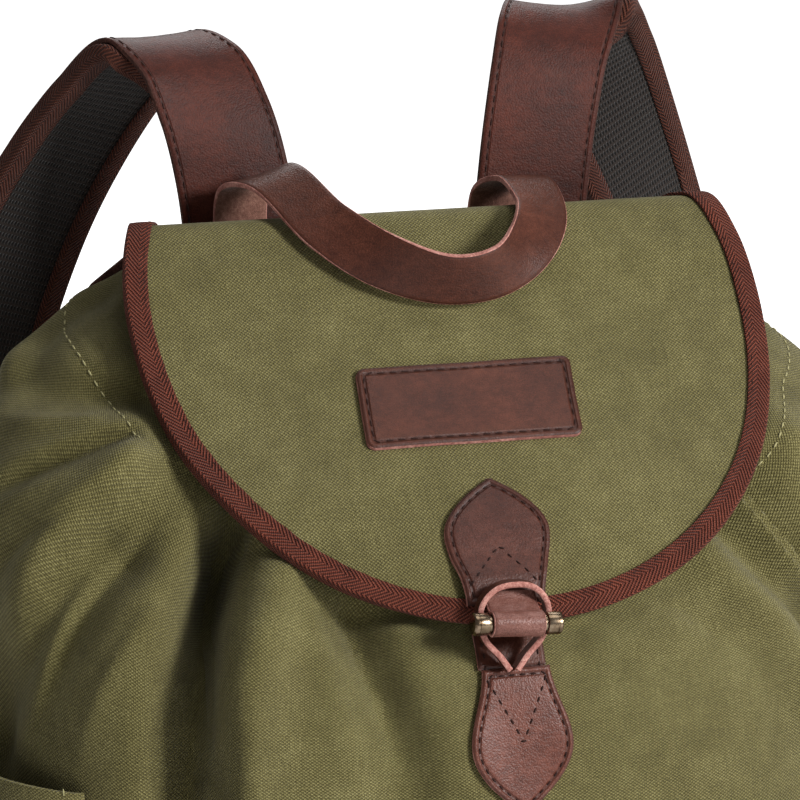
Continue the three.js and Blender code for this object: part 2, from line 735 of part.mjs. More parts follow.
// Share of a strap's course at one of its rings, which lie closer together round the crest.
function strapShare(step) {
  const u = step / strapSteps;
  return u + crestPull * u * (1 - u) * (crestShare - u);
}

function strapStations(side) {
  return strapCourse.map(({ out, behind, up, left, right }) => {
    const crest = smooth((up - 1.0) / 0.2);
    const height = up - (side < 0 ? leftCrestDrop * crest : 0);
    return {
      at: vector(side * out * halfWidth, strapSeatY + strapThickness / 2 + behind * strapStandoff,
        height * bodyHeight),
      turn: side < 0 ? left : right,
      tip: 0,
    };
  });
}

// Leather facing of a shoulder strap.
function strapLeather(side) {
  const half = strapWidth / 2;
  const thick = strapThickness / 2;
  return strip(strapStations(side), strapShares, rectangle(-half, half, -thick, thick));
}

const strapShares = evenShares(strapSteps).map((_, step) => strapShare(step));
const padShares = strapShares.slice(padStartStep);
const padStart = padShares[0];

// Piece of a strap's course after the pad begins, for the pad and its tapes; the pad is narrower
// where it starts under the leather.
function strapTail(side, outline) {
  const stations = strapStations(side);
  const path = new THREE.CatmullRomCurve3(stations.map(({ at }) => at), false, 'centripetal');
  const rings = [];
  for (const t of padShares) {
    const narrow = padTaper * (1 - smooth((t - padStart) / 0.1));
    const { across, out } = stationFrame(stations, path.getTangent(t), t);
    const centre = path.getPoint(t);
    rings.push(outline.map(([a, b]) => {
      const place = a - Math.sign(a) * narrow;
      return centre.clone().addScaledVector(across, place).addScaledVector(out, b);
    }));
  }
  return sweep(rings, outline);
}

const tapeTop = -strapThickness / 2 - padSeat;
const padTop = tapeTop - tapeWall - padSeat;

function strapPad(side) {
  const half = padWidth / 2 - tapeWall - padSeat;
  return strapTail(side, rectangle(-half, half, padTop - padThickness, padTop));
}

// Tape folded round one long edge of a pad, hand +1 for the edge away from the middle.
function strapTape(side, hand) {
  const edge = padWidth / 2;
  const low = padTop - padThickness - padSeat;
  const sign = hand * side;
  const outline = [
    [edge, tapeTop], [edge - tapeFace, tapeTop], [edge - tapeFace, tapeTop - tapeWall],
    [edge - tapeWall, tapeTop - tapeWall], [edge - tapeWall, low], [edge - strapTapeFace, low],
    [edge - strapTapeFace, low - tapeWall], [edge, low - tapeWall],
  ].map(([a, b]) => [a * sign, b]);
  return strapTail(side, outline);
}

// Lower strap, sewn on the outer face of the shoulder strap's end and on the foot of the back.
function lowerStations(side) {
  const stations = strapStations(side);
  const path = new THREE.CatmullRomCurve3(stations.map(({ at }) => at), false, 'centripetal');
  const above = strapThickness / 2 + padSeat + lowerStrapThickness / 2;
  const seat = (t) => {
    const tangent = path.getTangent(t);
    const { out } = stationFrame(stations, tangent, t);
    return path.getPoint(t).addScaledVector(out, above);
  };
  const turned = stations[stations.length - 1].turn;
  const footY = backY + backPanelThickness + gap + lowerStrapThickness / 2;
  const foot = vector(side * halfWidth * lowerFootOut, footY, bodyHeight * lowerFootUp);
  const end = seat(1);
  const lead = end.clone().sub(seat(0.95));
  return [
    { at: seat(0.95), turn: turned, tip: 0 }, { at: end, turn: turned, tip: 0 },
    { at: end.clone().add(lead), turn: turned, tip: 0 },
    { at: foot.clone().add(vector(side * 6, 12, bodyHeight * 0.16)), turn: turned / 2, tip: 0 },
    { at: foot.clone().add(vector(0, 1, bodyHeight * 0.055)), turn: 0, tip: 0 },
    { at: foot, turn: 0, tip: 0 },
  ];
}

function lowerStrap(side) {
  const half = lowerStrapWidth / 2;
  const thick = lowerStrapThickness / 2;
  return strip(lowerStations(side), evenShares(lowerStrapSteps), rectangle(-half, half, -thick, thick));
}

// Share of the half girth and of the height that a side pocket covers.
const pocketFrom = 0.43;
const pocketTo = 0.93;
const pocketTop = 0.408;
const pocketFoot = 0.03;
const pocketFull = 0.35;

function sidePocket(side) {
  const rows = 9;
  const columns = 12;
  const outer = [];
  const inner = [];
  for (let row = 0; row <= rows; row++) {
    const up = pocketFoot + (pocketTop - pocketFoot) * row / rows;
    const outerRow = [];
    const innerRow = [];
    for (let column = 0; column <= columns; column++) {
      const share = column / columns;
      const around = side * (pocketFrom + (pocketTo - pocketFrom) * share);
      const belly = Math.sin(Math.PI * share) ** pocketRound * smooth(row / rows / pocketFull);
      const lift = pocketSeat + pocketBulge * belly;
      outerRow.push(sack(around, up, lift + pocketWall));
      innerRow.push(sack(around, up, lift));
    }
    outer.push(outerRow);
    inner.push(innerRow);
  }
  return wall(outer, inner);
}

const finishes = {
  canvas: { color: 0x6f6c45, roughness: 0.9, metalness: 0 },
  leather: { color: 0x55332a, roughness: 0.55, metalness: 0 },
  tape: { color: 0x6b3a33, roughness: 0.85, metalness: 0 },
  mesh: { color: 0x2a2828, roughness: 0.95, metalness: 0 },
  bronze: { color: 0x8c7a55, roughness: 0.35, metalness: 1 },
};

const group = new THREE.Group();

function add(name, geometry, finish) {
  const mesh = new THREE.Mesh(geometry, new THREE.MeshStandardMaterial(finishes[finish]));
  mesh.name = name;
  group.add(mesh);
}

for (const panel of sackPanels) add(panel.name, sackPanel(panel), 'canvas');
add('base_panel', basePanel(), 'canvas');
add('back_panel', backPanel(), 'canvas');
add('back_yoke', backYoke(), 'leather');
add('flap', flapSheet(), 'canvas');
add('flap_tape', flapTape(), 'tape');
add('label_patch', labelPatch(), 'leather');
add('flap_tab', flapTab(), 'leather');
add('toggle_bar', toggleBar(), 'bronze');
add('toggle_tongue', toggleTongue(), 'leather');
add('body_tab', bodyTab(), 'leather');
add('closure_neck', closureNeck(), 'leather');
add('closure_loop', closureLoop(), 'leather');
add('carry_handle', carryHandle(), 'leather');
for (const [hand, side] of [['left', -1], ['right', 1]]) {
  add(`strap_leather_${hand}`, strapLeather(side), 'leather');
  add(`strap_pad_${hand}`, strapPad(side), 'mesh');
  add(`strap_tape_outer_${hand}`, strapTape(side, 1), 'tape');
  add(`strap_tape_inner_${hand}`, strapTape(side, -1), 'tape');
  add(`lower_strap_${hand}`, lowerStrap(side), 'leather');
  add(`side_pocket_${hand}`, sidePocket(side), 'canvas');
}

export default group;
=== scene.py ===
import math
import bmesh
import bpy
import numpy as np
from mathutils import Matrix, Vector


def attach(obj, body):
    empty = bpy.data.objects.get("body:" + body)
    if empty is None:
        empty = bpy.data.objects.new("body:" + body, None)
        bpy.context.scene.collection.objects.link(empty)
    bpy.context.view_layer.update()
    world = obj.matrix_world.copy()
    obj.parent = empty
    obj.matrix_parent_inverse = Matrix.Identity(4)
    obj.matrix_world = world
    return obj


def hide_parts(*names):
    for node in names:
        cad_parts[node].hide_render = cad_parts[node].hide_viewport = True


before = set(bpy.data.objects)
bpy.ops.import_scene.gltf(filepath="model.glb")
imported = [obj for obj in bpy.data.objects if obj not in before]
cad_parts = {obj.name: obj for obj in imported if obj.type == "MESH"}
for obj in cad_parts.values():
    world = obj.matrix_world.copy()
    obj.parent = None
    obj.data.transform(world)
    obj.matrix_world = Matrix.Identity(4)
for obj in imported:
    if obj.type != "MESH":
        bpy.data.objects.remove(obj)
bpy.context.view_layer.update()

# Lengths are written in millimetres and become metres as each mesh is made. Lengths in a material are in
# metres. The front of the bag faces -Y, and +Z is up.
MM = 0.001

# Sizes of the sack.
BODY_HEIGHT = 420
BODY_WIDTH = 430
BODY_DEPTH = 194
CANVAS = 2.0
GAP = 0.3
SOFT_GAP = 0.9
TAPE_SEAT = 1.3
PAD_SEAT = 1.7

# Sizes of the flap, its tape and the leather on it.
FLAP_WIDTH = 296
FLAP_SHIFT = 4
FLAP_CANVAS = 2.0
TAPE_FACE = 10.5
TAPE_WALL = 1.0
LEATHER = 2.4
LABEL_WIDTH = 100
LABEL_HEIGHT = 42
LABEL_CORNER = 4
LABEL_LEAN = 3.4
TAB_WIDTH = 48
TAB_LENGTH = 58
TAB_NECK = 35.5
TAB_WIDEST = 0.45
LOWER_TAB_WIDTH = 47
LOWER_TAB_LENGTH = 61
LOWER_TAB_WIDEST = 0.48
LABEL_SHARE = 0.622
TAB_START = 0.765

# Sizes of the toggle and its loop.
TOGGLE_SHIFT = -4
BAR_LENGTH = 41
BAR_RADIUS = 5.0
BAR_CAP = 7.2
BAR_WAIST = 3.9
BAR_CLEARANCE = 0.1
BAR_DROP = 6
BAR_TILT = math.radians(3.5)
TONGUE_CLEARANCE = 1.5
WRAP_LEATHER = 1.5
LOOP_SHIFT = -3
LOOP_WIDTH = 32
LOOP_STRIP = 6.0
LOOP_THICKNESS = 3.2
LOOP_EDGE = 2.6
LOOP_RISE = 11
LOOP_SLACK = 2.2
LOOP_FOOT = 1.8
LOOP_SEAT = 1.5
LOOP_SEAT_UP = 2
TAB_BELOW_BAR = 19
NECK_WIDTH = 31
NECK_HEIGHT = 19
NECK_THICKNESS = 1.8

# Sizes of the handle and the straps.
HANDLE_WIDTH = 25
HANDLE_THICKNESS = 2.6
STRAP_WIDTH = 54
STRAP_THICKNESS = 2.6
PAD_WIDTH = 62
PAD_THICKNESS = 5.0
PAD_TAPER = 8.0
STRAP_TAPE_FACE = 11.0
STRAP_STANDOFF = 68
LOWER_STRAP_WIDTH = 25
LOWER_STRAP_THICKNESS = 2.4
BACK_PANEL = 4.0
YOKE_HEIGHT = 62
POCKET_WALL = 1.8
POCKET_SEAT = 2.0
POCKET_BULGE = 18

HALF_WIDTH = BODY_WIDTH / 2
BACK_Y = BODY_DEPTH * 0.557
FLAP_SEAT_Y = BACK_Y + BACK_PANEL + GAP
HANDLE_SEAT_Y = FLAP_SEAT_Y + FLAP_CANVAS + GAP
YOKE_SEAT_Y = HANDLE_SEAT_Y + HANDLE_THICKNESS + GAP
STRAP_SEAT_Y = YOKE_SEAT_Y + LEATHER + GAP


def table(columns, rows):
    """Columns of a table, each as an array, by name."""
    return dict(zip(columns.split(), np.array(rows, float).T))


# Sections of the sack from the base to the mouth, with the shares that the solids use.
SECTIONS = table("back front wide rear deep", [
    (0.000, 0.000, 0.74, 0.650, 0.918),
    (0.081, 0.081, 0.88, 0.740, 0.985),
    (0.214, 0.205, 0.955, 0.765, 1.000),
    (0.357, 0.333, 0.99, 0.770, 0.985),
    (0.505, 0.452, 1.00, 0.770, 0.935),
    (0.655, 0.543, 1.00, 0.765, 0.900),
    (0.786, 0.607, 0.975, 0.750, 0.855),
    (0.886, 0.662, 0.915, 0.715, 0.775),
    (0.940, 0.745, 0.80, 0.650, 0.665),
    (0.960, 0.812, 0.69, 0.600, 0.550),
    (0.974, 0.857, 0.60, 0.555, 0.450),
])
SIDE_DEPTH = 0.26
SQUARENESS = 0.82
SLOPE_POWER = 1.6
FRONT_SHARE = 0.7
RIGHT_SLUMP = 0.045

# Cloth for one unit around and up, as shares of half the width and of the height.
CLOTH_GIRTH = 1.55
CLOTH_RISE = 1.15

# Where the sack turns square to its back, and how its folds fade towards the back, foot and mouth.
SQUARE_FROM = 0.85
SQUARE_RUN = 0.15
FADE_BACK = 0.28
FADE_FOOT = 0.08
FADE_MOUTH = 0.06

# Folds of the sack: start and end as shares around and up, width and height as shares of the depth.
FOLDS = table("around up to_around to_up width height", [
    (-0.262, 0.74, -0.315, 0.32, 0.068, -0.130),
    (-0.195, 0.72, -0.240, 0.32, 0.055, 0.050),
    (0.290, 0.78, 0.400, 0.44, 0.080, -0.120),
    (0.205, 0.74, 0.310, 0.46, 0.060, 0.045),
    (-0.460, 0.78, -0.690, 0.54, 0.100, 0.055),
    (-0.500, 0.87, -0.780, 0.68, 0.070, -0.040),
    (-0.420, 0.68, -0.620, 0.42, 0.070, -0.050),
    (0.470, 0.78, 0.700, 0.52, 0.100, 0.045),
    (-0.125, 0.68, -0.075, 0.38, 0.055, -0.035),
    (-0.080, 0.66, -0.030, 0.40, 0.050, 0.022),
    (-0.050, 0.12, 0.160, 0.22, 0.090, -0.025),
    (-0.830, 0.90, -0.790, 0.79, 0.150, -0.042),
    (-0.790, 0.70, -0.760, 0.60, 0.130, 0.032),
])

# Pleats and creases that only the cloth shows, with a width for each side of the line.
CREASES = table("around up to_around to_up left right height", [
    (-0.238, 0.785, -0.264, 0.420, 0.012, 0.062, 0.080),
    (-0.252, 0.800, -0.280, 0.470, 0.050, 0.012, -0.070),
    (-0.268, 0.850, -0.274, 0.660, 0.040, 0.020, -0.050),
    (-0.266, 0.430, -0.350, 0.380, 0.022, 0.030, 0.018),
    (-0.415, 0.800, -0.600, 0.440, 0.060, 0.050, 0.064),
    (-0.365, 0.730, -0.520, 0.430, 0.024, 0.060, -0.046),
    (-0.330, 0.640, -0.450, 0.420, 0.022, 0.030, 0.012),
    (-0.455, 0.815, -0.660, 0.600, 0.024, 0.034, -0.050),
    (-0.520, 0.800, -0.700, 0.680, 0.022, 0.030, 0.014),
    (-0.440, 0.730, -0.640, 0.520, 0.016, 0.020, -0.012),
    (-0.130, 0.720, -0.070, 0.420, 0.020, 0.045, -0.034),
    (-0.165, 0.700, -0.110, 0.430, 0.030, 0.018, 0.012),
    (0.045, 0.660, 0.035, 0.560, 0.022, 0.022, -0.008),
    (0.150, 0.670, 0.190, 0.580, 0.020, 0.020, -0.009),
    (0.322, 0.800, 0.372, 0.600, 0.085, 0.012, 0.040),
    (0.352, 0.810, 0.402, 0.580, 0.011, 0.060, -0.062),
    (0.440, 0.720, 0.520, 0.620, 0.020, 0.020, -0.012),
    (0.560, 0.760, 0.640, 0.660, 0.022, 0.022, 0.010),
    (-0.180, 0.440, -0.200, 0.260, 0.028, 0.028, 0.007),
    (0.120, 0.400, 0.170, 0.240, 0.030, 0.030, -0.007),
])

# The casing's seam, where the cloth above it steps up by its second layer.
CASING = table("around up", [
    (-1.00, 0.800), (-0.81, 0.818), (-0.65, 0.839), (-0.55, 0.842), (-0.475, 0.822), (-0.42, 0.802),
    (0.00, 0.800), (0.42, 0.802), (0.475, 0.812), (0.58, 0.822), (0.70, 0.790), (1.00, 0.780),
])
CASING_STEP = 0.8
CASING_RISE = 0.007

# The flap's middle line, from its seam on the back to its tip.
FLAP_COURSE = table("forward up", [
    (0.000, 0.900), (0.000, 0.955), (0.022, 0.988), (0.079, 1.010), (0.188, 1.0238), (0.273, 0.9925),
    (0.367, 0.9385), (0.547, 0.8497), (0.719, 0.7738), (0.833, 0.7080), (0.875, 0.6740), (0.889, 0.6460),
])
FLAP_TOP_SHARE = 0.17
FLAP_WIDE_SHARE = 0.43
FLAP_ROUND_POWER = 2.15
FLAP_BACK_NARROW = 0.86
FLAP_CROWN = 7
FLAP_ROLL = 1.5
FLAP_SEAM_SHARE = 0.06

# The handle's middle line. turn and tip are the angles, in degrees, that it lies at.
HANDLE_COURSE = table("out forward up turn tip", [
    (-0.335, 0.000, 0.945, 0, 0), (-0.335, 0.001, 0.990, 0, 0), (-0.330, 0.010, 1.046, 4, 6),
    (-0.294, 0.062, 1.065, 15, 22), (-0.220, 0.134, 1.022, 40, 52), (-0.125, 0.174, 0.990, 68, 84),
    (0.000, 0.197, 0.970, 90, 110), (0.110, 0.194, 0.974, 110, 100), (0.200, 0.165, 0.995, 138, 62),
    (0.262, 0.114, 1.024, 162, 26), (0.262, 0.055, 1.048, 176, 4), (0.238, 0.008, 1.030, 180, 0),
    (0.230, 0.000, 0.990, 180, 0), (0.230, 0.000, 0.945, 180, 0),
])

# A shoulder strap's middle line, with the angles that the left and the right one lie at.
STRAP_COURSE = table("out behind up left right", [
    (0.322, 0.00, 0.885, 0, 0), (0.322, 0.00, 0.975, 0, 0), (0.340, 0.03, 1.060, 3, 0),
    (0.370, 0.11, 1.135, 7, 0), (0.410, 0.27, 1.190, 11, -1), (0.470, 0.56, 1.209, 16, 1),
    (0.550, 0.87, 1.152, 17, 9), (0.640, 1.10, 1.060, 15, 17), (0.720, 1.24, 0.965, 12, 22),
    (0.800, 1.30, 0.840, 8, 22), (0.850, 1.20, 0.700, 4, 16), (0.850, 0.92, 0.540, 0, 10),
    (0.810, 0.60, 0.400, 0, 5),
])
LEFT_CREST_DROP = 0.014
PAD_START = 0.3299

# The side pockets' place around and up the sack.
POCKET_FROM = 0.43
POCKET_TO = 0.93
POCKET_TOP = 0.408
POCKET_FOOT = 0.03
POCKET_HEM = 0.915

# Distances of stitches and pressed lines from a leather edge, and of threads off a face or into it.
STITCH_INSET = 3.1
TAB_GROOVE_INSET = 2.8
TAB_SEAM_INSET = 2.9
STITCH_LIFT = 0.05
THREAD_SINK = 0.25
STITCH_WOBBLE = 0.05

# Crossing waves in the cloth's gentle unevenness.
WAVES = 6


def vectors(x, y, z):
    """Points or directions from their three numbers."""
    x, y, z = np.broadcast_arrays(x, y, z)
    return np.stack([x, y, z], axis=-1).astype(float)


def unit(v):
    """The same directions, each of length 1."""
    return v / np.maximum(np.linalg.norm(v, axis=-1, keepdims=True), 1e-9)


def smooth(value):
    """Value held between 0 and 1, with a soft start and end."""
    t = np.clip(value, 0.0, 1.0)
    return t * t * (3 - 2 * t)


def along(rows, column, share):
    """Smooth value of one column of a table at a share of its length."""
    values = rows[column]
    place = np.clip(share, 0, 1) * (len(values) - 1)
    row = np.minimum(np.floor(place).astype(int), len(values) - 2)
    t = place - row
    a, b, c, d = (values[np.clip(row + k, 0, len(values) - 1)] for k in (-1, 0, 1, 2))
    return b + 0.5 * t * (c - a + t * (2 * a - 5 * b + 4 * c - d + t * (3 * (b - c) + d - a)))


class Course:
    """A smooth path through points, read by its parameter or by a share of its length."""

    def __init__(self, points, samples=3000):
        points = np.array(points, float)
        lead = [2 * points[0] - points[1], *points, 2 * points[-1] - points[-2]]
        lead = np.array(lead)
        place = np.linspace(0, len(points) - 1, samples)
        row = np.minimum(np.floor(place).astype(int), len(points) - 2)
        w = (place - row)[:, None]
        p0, p1, p2, p3 = (lead[row + k] for k in range(4))
        d0, d1, d2 = (np.sqrt(np.linalg.norm(b - a, axis=1, keepdims=True))
                      for a, b in ((p0, p1), (p1, p2), (p2, p3)))
        t1 = ((p1 - p0) / d0 - (p2 - p0) / (d0 + d1) + (p2 - p1) / d1) * d1
        t2 = ((p2 - p1) / d1 - (p3 - p1) / (d1 + d2) + (p3 - p2) / d2) * d1
        c2 = -3 * p1 + 3 * p2 - 2 * t1 - t2
        c3 = 2 * p1 - 2 * p2 + t1 + t2
        self.t = place / (len(points) - 1)
        self.points = p1 + t1 * w + c2 * w ** 2 + c3 * w ** 3
        self.tangents = unit(t1 + 2 * c2 * w + 3 * c3 * w ** 2)
        self.far = run_along(self.points)
        self.length = self.far[-1]

    def read(self, values, keys, key):
        return np.stack([np.interp(key, keys, values[:, k]) for k in range(3)], axis=-1)

    def at(self, t):
        """Points at parameters from 0 to 1."""
        return self.read(self.points, self.t, t)

    def tangent(self, t):
        return unit(self.read(self.tangents, self.t, t))

    def at_share(self, share):
        """Points at shares of the path's length."""
        return self.read(self.points, self.far / self.length, share)

    def tangent_at_share(self, share):
        return unit(self.read(self.tangents, self.far / self.length, share))

    def even(self, step):
        """Parameters spaced about one step apart along the path."""
        count = max(4, int(round(self.length / step)))
        return np.interp(np.linspace(0, self.length, count + 1), self.far, self.t)


def run_along(line):
    """Distance of each point of a line from its start, along the line."""
    return np.concatenate([[0], np.cumsum(np.linalg.norm(np.diff(line, axis=0), axis=1))])


def wander(x, y, z, size, seed):
    """Gentle unevenness from a few crossing waves, between about -1 and 1."""
    rng = np.random.default_rng(seed)
    total = 0
    for _ in range(WAVES):
        way = unit(rng.normal(size=3))
        length = size * rng.uniform(0.6, 1.5)
        far = x * way[0] + y * way[1] + z * way[2]
        total = total + np.sin(2 * np.pi * far / length + rng.uniform(0, 6.28))
    return total / 4


def plain_sack(around, up):
    """Place on the sack without its folds. around is 0 at the middle of the front and reaches the back at
    -1 on the left and 1 on the right; up is 0 at the foot and 1 at the mouth."""
    wide = along(SECTIONS, "wide", up) * HALF_WIDTH
    rear = along(SECTIONS, "rear", up) * HALF_WIDTH
    deep = along(SECTIONS, "deep", up)
    front_y = BACK_Y - deep * BODY_DEPTH
    side_y = BACK_Y - SIDE_DEPTH * BODY_DEPTH * (0.4 + 0.6 * deep)
    share = np.abs(around)
    hand = np.sign(around)
    front = np.clip(share / FRONT_SHARE, 0, 1) * np.pi / 2
    back = np.clip((share - FRONT_SHARE) / (1 - FRONT_SHARE), 0, 1) * np.pi / 2
    cosine = np.maximum(np.cos(front), 0)
    x = np.where(share <= FRONT_SHARE, wide * np.sin(front) ** SQUARENESS,
                 rear + (wide - rear) * np.cos(back))
    y = np.where(share <= FRONT_SHARE, side_y - (side_y - front_y) * cosine ** SQUARENESS,
                 side_y + (BACK_Y - GAP - side_y) * np.sin(back))
    forward = np.clip((BACK_Y - y) / (BACK_Y - front_y), 0, 1)
    low = along(SECTIONS, "front", up) * BODY_HEIGHT
    high = along(SECTIONS, "back", up) * BODY_HEIGHT
    slump = np.where(hand > 0, RIGHT_SLUMP * BODY_HEIGHT * smooth(share / 0.45) * smooth((1 - share) / 0.2)
                     * smooth((up - 0.35) / 0.4), 0)
    return vectors(hand * x, y, low + (high - low) * (1 - forward ** SLOPE_POWER) - slump)


def fold_rows(rows, around, up):
    """Each fold of a table, with its run, and each place from the fold's start, in millimetres."""
    girth = HALF_WIDTH * CLOTH_GIRTH
    rise = BODY_HEIGHT * CLOTH_RISE
    for k in range(len(rows["up"])):
        row = {name: values[k] for name, values in rows.items()}
        run = ((row["to_around"] - row["around"]) * girth, (row["to_up"] - row["up"]) * rise)
        yield row, run, ((around - row["around"]) * girth, (up - row["up"]) * rise)


def fold_height(rows, around, up):
    """Height of round folds, the same on both sides of each line."""
    height = np.zeros(np.broadcast(around, up).shape)
    for row, (run_a, run_u), (a, u) in fold_rows(rows, around, up):
        share = np.clip((a * run_a + u * run_u) / (run_a ** 2 + run_u ** 2), 0, 1)
        apart = np.hypot(a - share * run_a, u - share * run_u)
        round_off = np.exp(-((apart / (row["width"] * BODY_DEPTH)) ** 2))
        height = height + row["height"] * BODY_DEPTH * round_off
    return height


def crease_height(rows, around, up):
    """Height of pleats, each with its own fall to the left and to the right, fading at its ends."""
    height = np.zeros(np.broadcast(around, up).shape)
    for row, (run_a, run_u), (a, u) in fold_rows(rows, around, up):
        share = (a * run_a + u * run_u) / (run_a ** 2 + run_u ** 2)
        side = (run_a * u - run_u * a) / math.hypot(run_a, run_u)
        width = np.where(side < 0, row["left"], row["right"]) * BODY_DEPTH
        fade = smooth((share + 0.06) / 0.18) * smooth((1.08 - share) / 0.5)
        height = height + row["height"] * BODY_DEPTH * fade * np.exp(-((side / width) ** 2))
    return height


def casing_up(around):
    """Height of the casing's seam on the sack."""
    return np.interp(around, CASING["around"], CASING["up"])


def outward_of(surface, around, up, step=0.004):
    """Direction out of a surface, from places a small step apart."""
    a = surface(np.minimum(around + step, 1), up) - surface(np.maximum(around - step, -1), up)
    b = surface(around, np.minimum(up + step, 1)) - surface(around, np.maximum(up - step, 0))
    return unit(np.cross(a, b))


def sack(around, up, lift=0.0, creased=False):
    """Place on the sack, at a lift off its face. creased adds what only the cloth shows."""
    around, up = np.broadcast_arrays(np.asarray(around, float), np.asarray(up, float))
    square = smooth((np.abs(around) - SQUARE_FROM) / SQUARE_RUN)[..., None]
    outward = unit(outward_of(plain_sack, around, up) * (1 - square) + np.array([0, 1.0, 0]) * square)
    edge = smooth((1 - np.abs(around)) / FADE_BACK) * smooth(up / FADE_FOOT) * smooth((1 - up) / FADE_MOUTH)
    height = fold_height(FOLDS, around, up) * edge
    if creased:
        height = height + crease_height(CREASES, around, up) * edge
        height = height + CASING_STEP * smooth((up - casing_up(around)) / CASING_RISE)
        plain = plain_sack(around, up)
        x, y, z = plain[..., 0], plain[..., 1], plain[..., 2]
        loose = 0.35 + 0.65 * smooth((up - 0.3) / 0.3)
        uneven = 1.1 * wander(x, y, z * 0.6, 95, 3) + 0.45 * wander(x, y, z * 0.7, 38, 8)
        height = height + edge * loose * uneven
    return plain_sack(around, up) + outward * (height + lift)[..., None]


def sack_at(x, z, lift=0.0, creased=False):
    """Place on the front of the sack at x and z, found by steps towards them."""
    x, z = np.broadcast_arrays(np.asarray(x, float), np.asarray(z, float))
    steps, pace = 30, 0.4
    spread = np.zeros(x.shape)
    up = np.full(x.shape, 0.5)
    for _ in range(steps):
        around = np.sign(spread) * np.abs(spread) ** (1 / SQUARENESS)
        point = sack(around, up, 0.0, creased)
        up = np.clip(up + (z - point[..., 2]) / BODY_HEIGHT * 2 * pace, 0, 1)
        spread = spread + (x - point[..., 0]) / HALF_WIDTH * pace
    return sack(np.sign(spread) * np.abs(spread) ** (1 / SQUARENESS), up, lift, creased)


flap_line = Course(vectors(0, FLAP_SEAT_Y + FLAP_CANVAS - FLAP_COURSE["forward"] * BODY_DEPTH,
                           FLAP_COURSE["up"] * BODY_HEIGHT))
FLAP_RUN = flap_line.length


def flap_half(share):
    """Half the flap's width at a share of its length."""
    widest = FLAP_WIDTH / 2
    rise = (FLAP_WIDE_SHARE - share) / (FLAP_WIDE_SHARE - FLAP_TOP_SHARE)
    narrow = 1 - (1 - FLAP_BACK_NARROW) * np.clip(rise, 0, 1.15) ** 2
    fall = np.clip((share - FLAP_WIDE_SHARE) / (1 - FLAP_WIDE_SHARE), 0, 1)
    tip = np.maximum(0, 1 - fall ** FLAP_ROUND_POWER) ** (1 / FLAP_ROUND_POWER)
    return widest * np.where(share < FLAP_WIDE_SHARE, narrow, tip)


def flap_at(x, share, lift=0.0):
    """Place on the flap at x and a share of its length, at a lift off its face."""
    x, share = np.broadcast_arrays(np.asarray(x, float), np.asarray(share, float))
    centre = flap_line.at_share(np.clip(share, 0, 1))
    tangent = flap_line.tangent_at_share(np.clip(share, 0, 1))
    normal = vectors(0, tangent[..., 2], -tangent[..., 1])
    centre = centre + tangent * (np.maximum(share - 1, 0) * FLAP_RUN)[..., None]
    off = (x - FLAP_SHIFT) / (FLAP_WIDTH / 2)
    drop = FLAP_CROWN * smooth((share - 0.45) / 0.5) * off ** 2
    roll = FLAP_ROLL * smooth((np.abs(off) - 0.8) / 0.25) * smooth((share - 0.15) / 0.2)
    inside = smooth((share - 0.2) / 0.15) * smooth((0.93 - share) / 0.2)
    down = share * FLAP_RUN
    uneven = inside * (0.55 * wander(x, down, 0 * x, 120, 21) + 0.3 * wander(x, down, 0 * x, 46, 5))
    place = centre + normal * (lift - drop - roll + uneven)[..., None]
    place[..., 0] = x
    return place


def make_mesh(name, points, faces, finishes, slots=None, cloth=None, fields=None, crease=40):
    """One piece from points in millimetres. slots picks a finish for each face, cloth holds a surface
    coordinate for each point, and fields are further numbers for each point."""
    mesh = bpy.data.meshes.new(name)
    points = np.asarray(points, float).reshape(-1, 3) * MM
    mesh.from_pydata(points.tolist(), [], [tuple(int(i) for i in face) for face in faces])
    for finish in finishes:
        mesh.materials.append(finish)
    if slots is not None:
        mesh.polygons.foreach_set("material_index", np.asarray(slots, np.int32))
    corner = np.empty(len(mesh.loops), np.int32)
    mesh.loops.foreach_get("vertex_index", corner)
    if cloth is not None:
        layer = mesh.uv_layers.new(name="cloth")
        layer.data.foreach_set("uv", np.asarray(cloth, float).reshape(-1, 2)[corner].ravel() * MM)
    for field, values in (fields or {}).items():
        made = mesh.attributes.new(field, "FLOAT", "POINT")
        made.data.foreach_set("value", np.asarray(values, np.float32).ravel())
    mesh.polygons.foreach_set("use_smooth", np.ones(len(mesh.polygons), bool))
    work = bmesh.new()
    work.from_mesh(mesh)
    if work.calc_volume(signed=True) < 0:
        bmesh.ops.reverse_faces(work, faces=work.faces)
        work.to_mesh(mesh)
    work.free()
    mesh.set_sharp_from_angle(angle=math.radians(crease))
    piece = bpy.data.objects.new(name, mesh)
    bpy.context.collection.objects.link(piece)
    return piece


def metric(grid):
    """Lengths across and along a grid of points, for a weave that keeps its size."""
    across = np.linalg.norm(np.diff(grid, axis=1), axis=2).mean(axis=0)
    upward = np.linalg.norm(np.diff(grid, axis=0), axis=2).mean(axis=1)
    u = np.concatenate([[0], np.cumsum(across)])
    v = np.concatenate([[0], np.cumsum(upward)])
    return np.stack(np.broadcast_arrays(u[None, :] - u[-1] / 2, v[:, None]), axis=-1)


def grid_faces(rows, columns, start=0, turned=False):
    index = start + np.arange(rows * columns).reshape(rows, columns)
    a, b, c, d = index[:-1, :-1], index[:-1, 1:], index[1:, 1:], index[1:, :-1]
    order = (a, d, c, b) if turned else (a, b, c, d)
    return np.stack(order, axis=-1).reshape(-1, 4)


def rim_of(rows, columns):
    index = np.arange(rows * columns).reshape(rows, columns)
    return np.concatenate([index[0, :], index[1:, -1], index[-1, -2::-1], index[-2:0:-1, 0]])


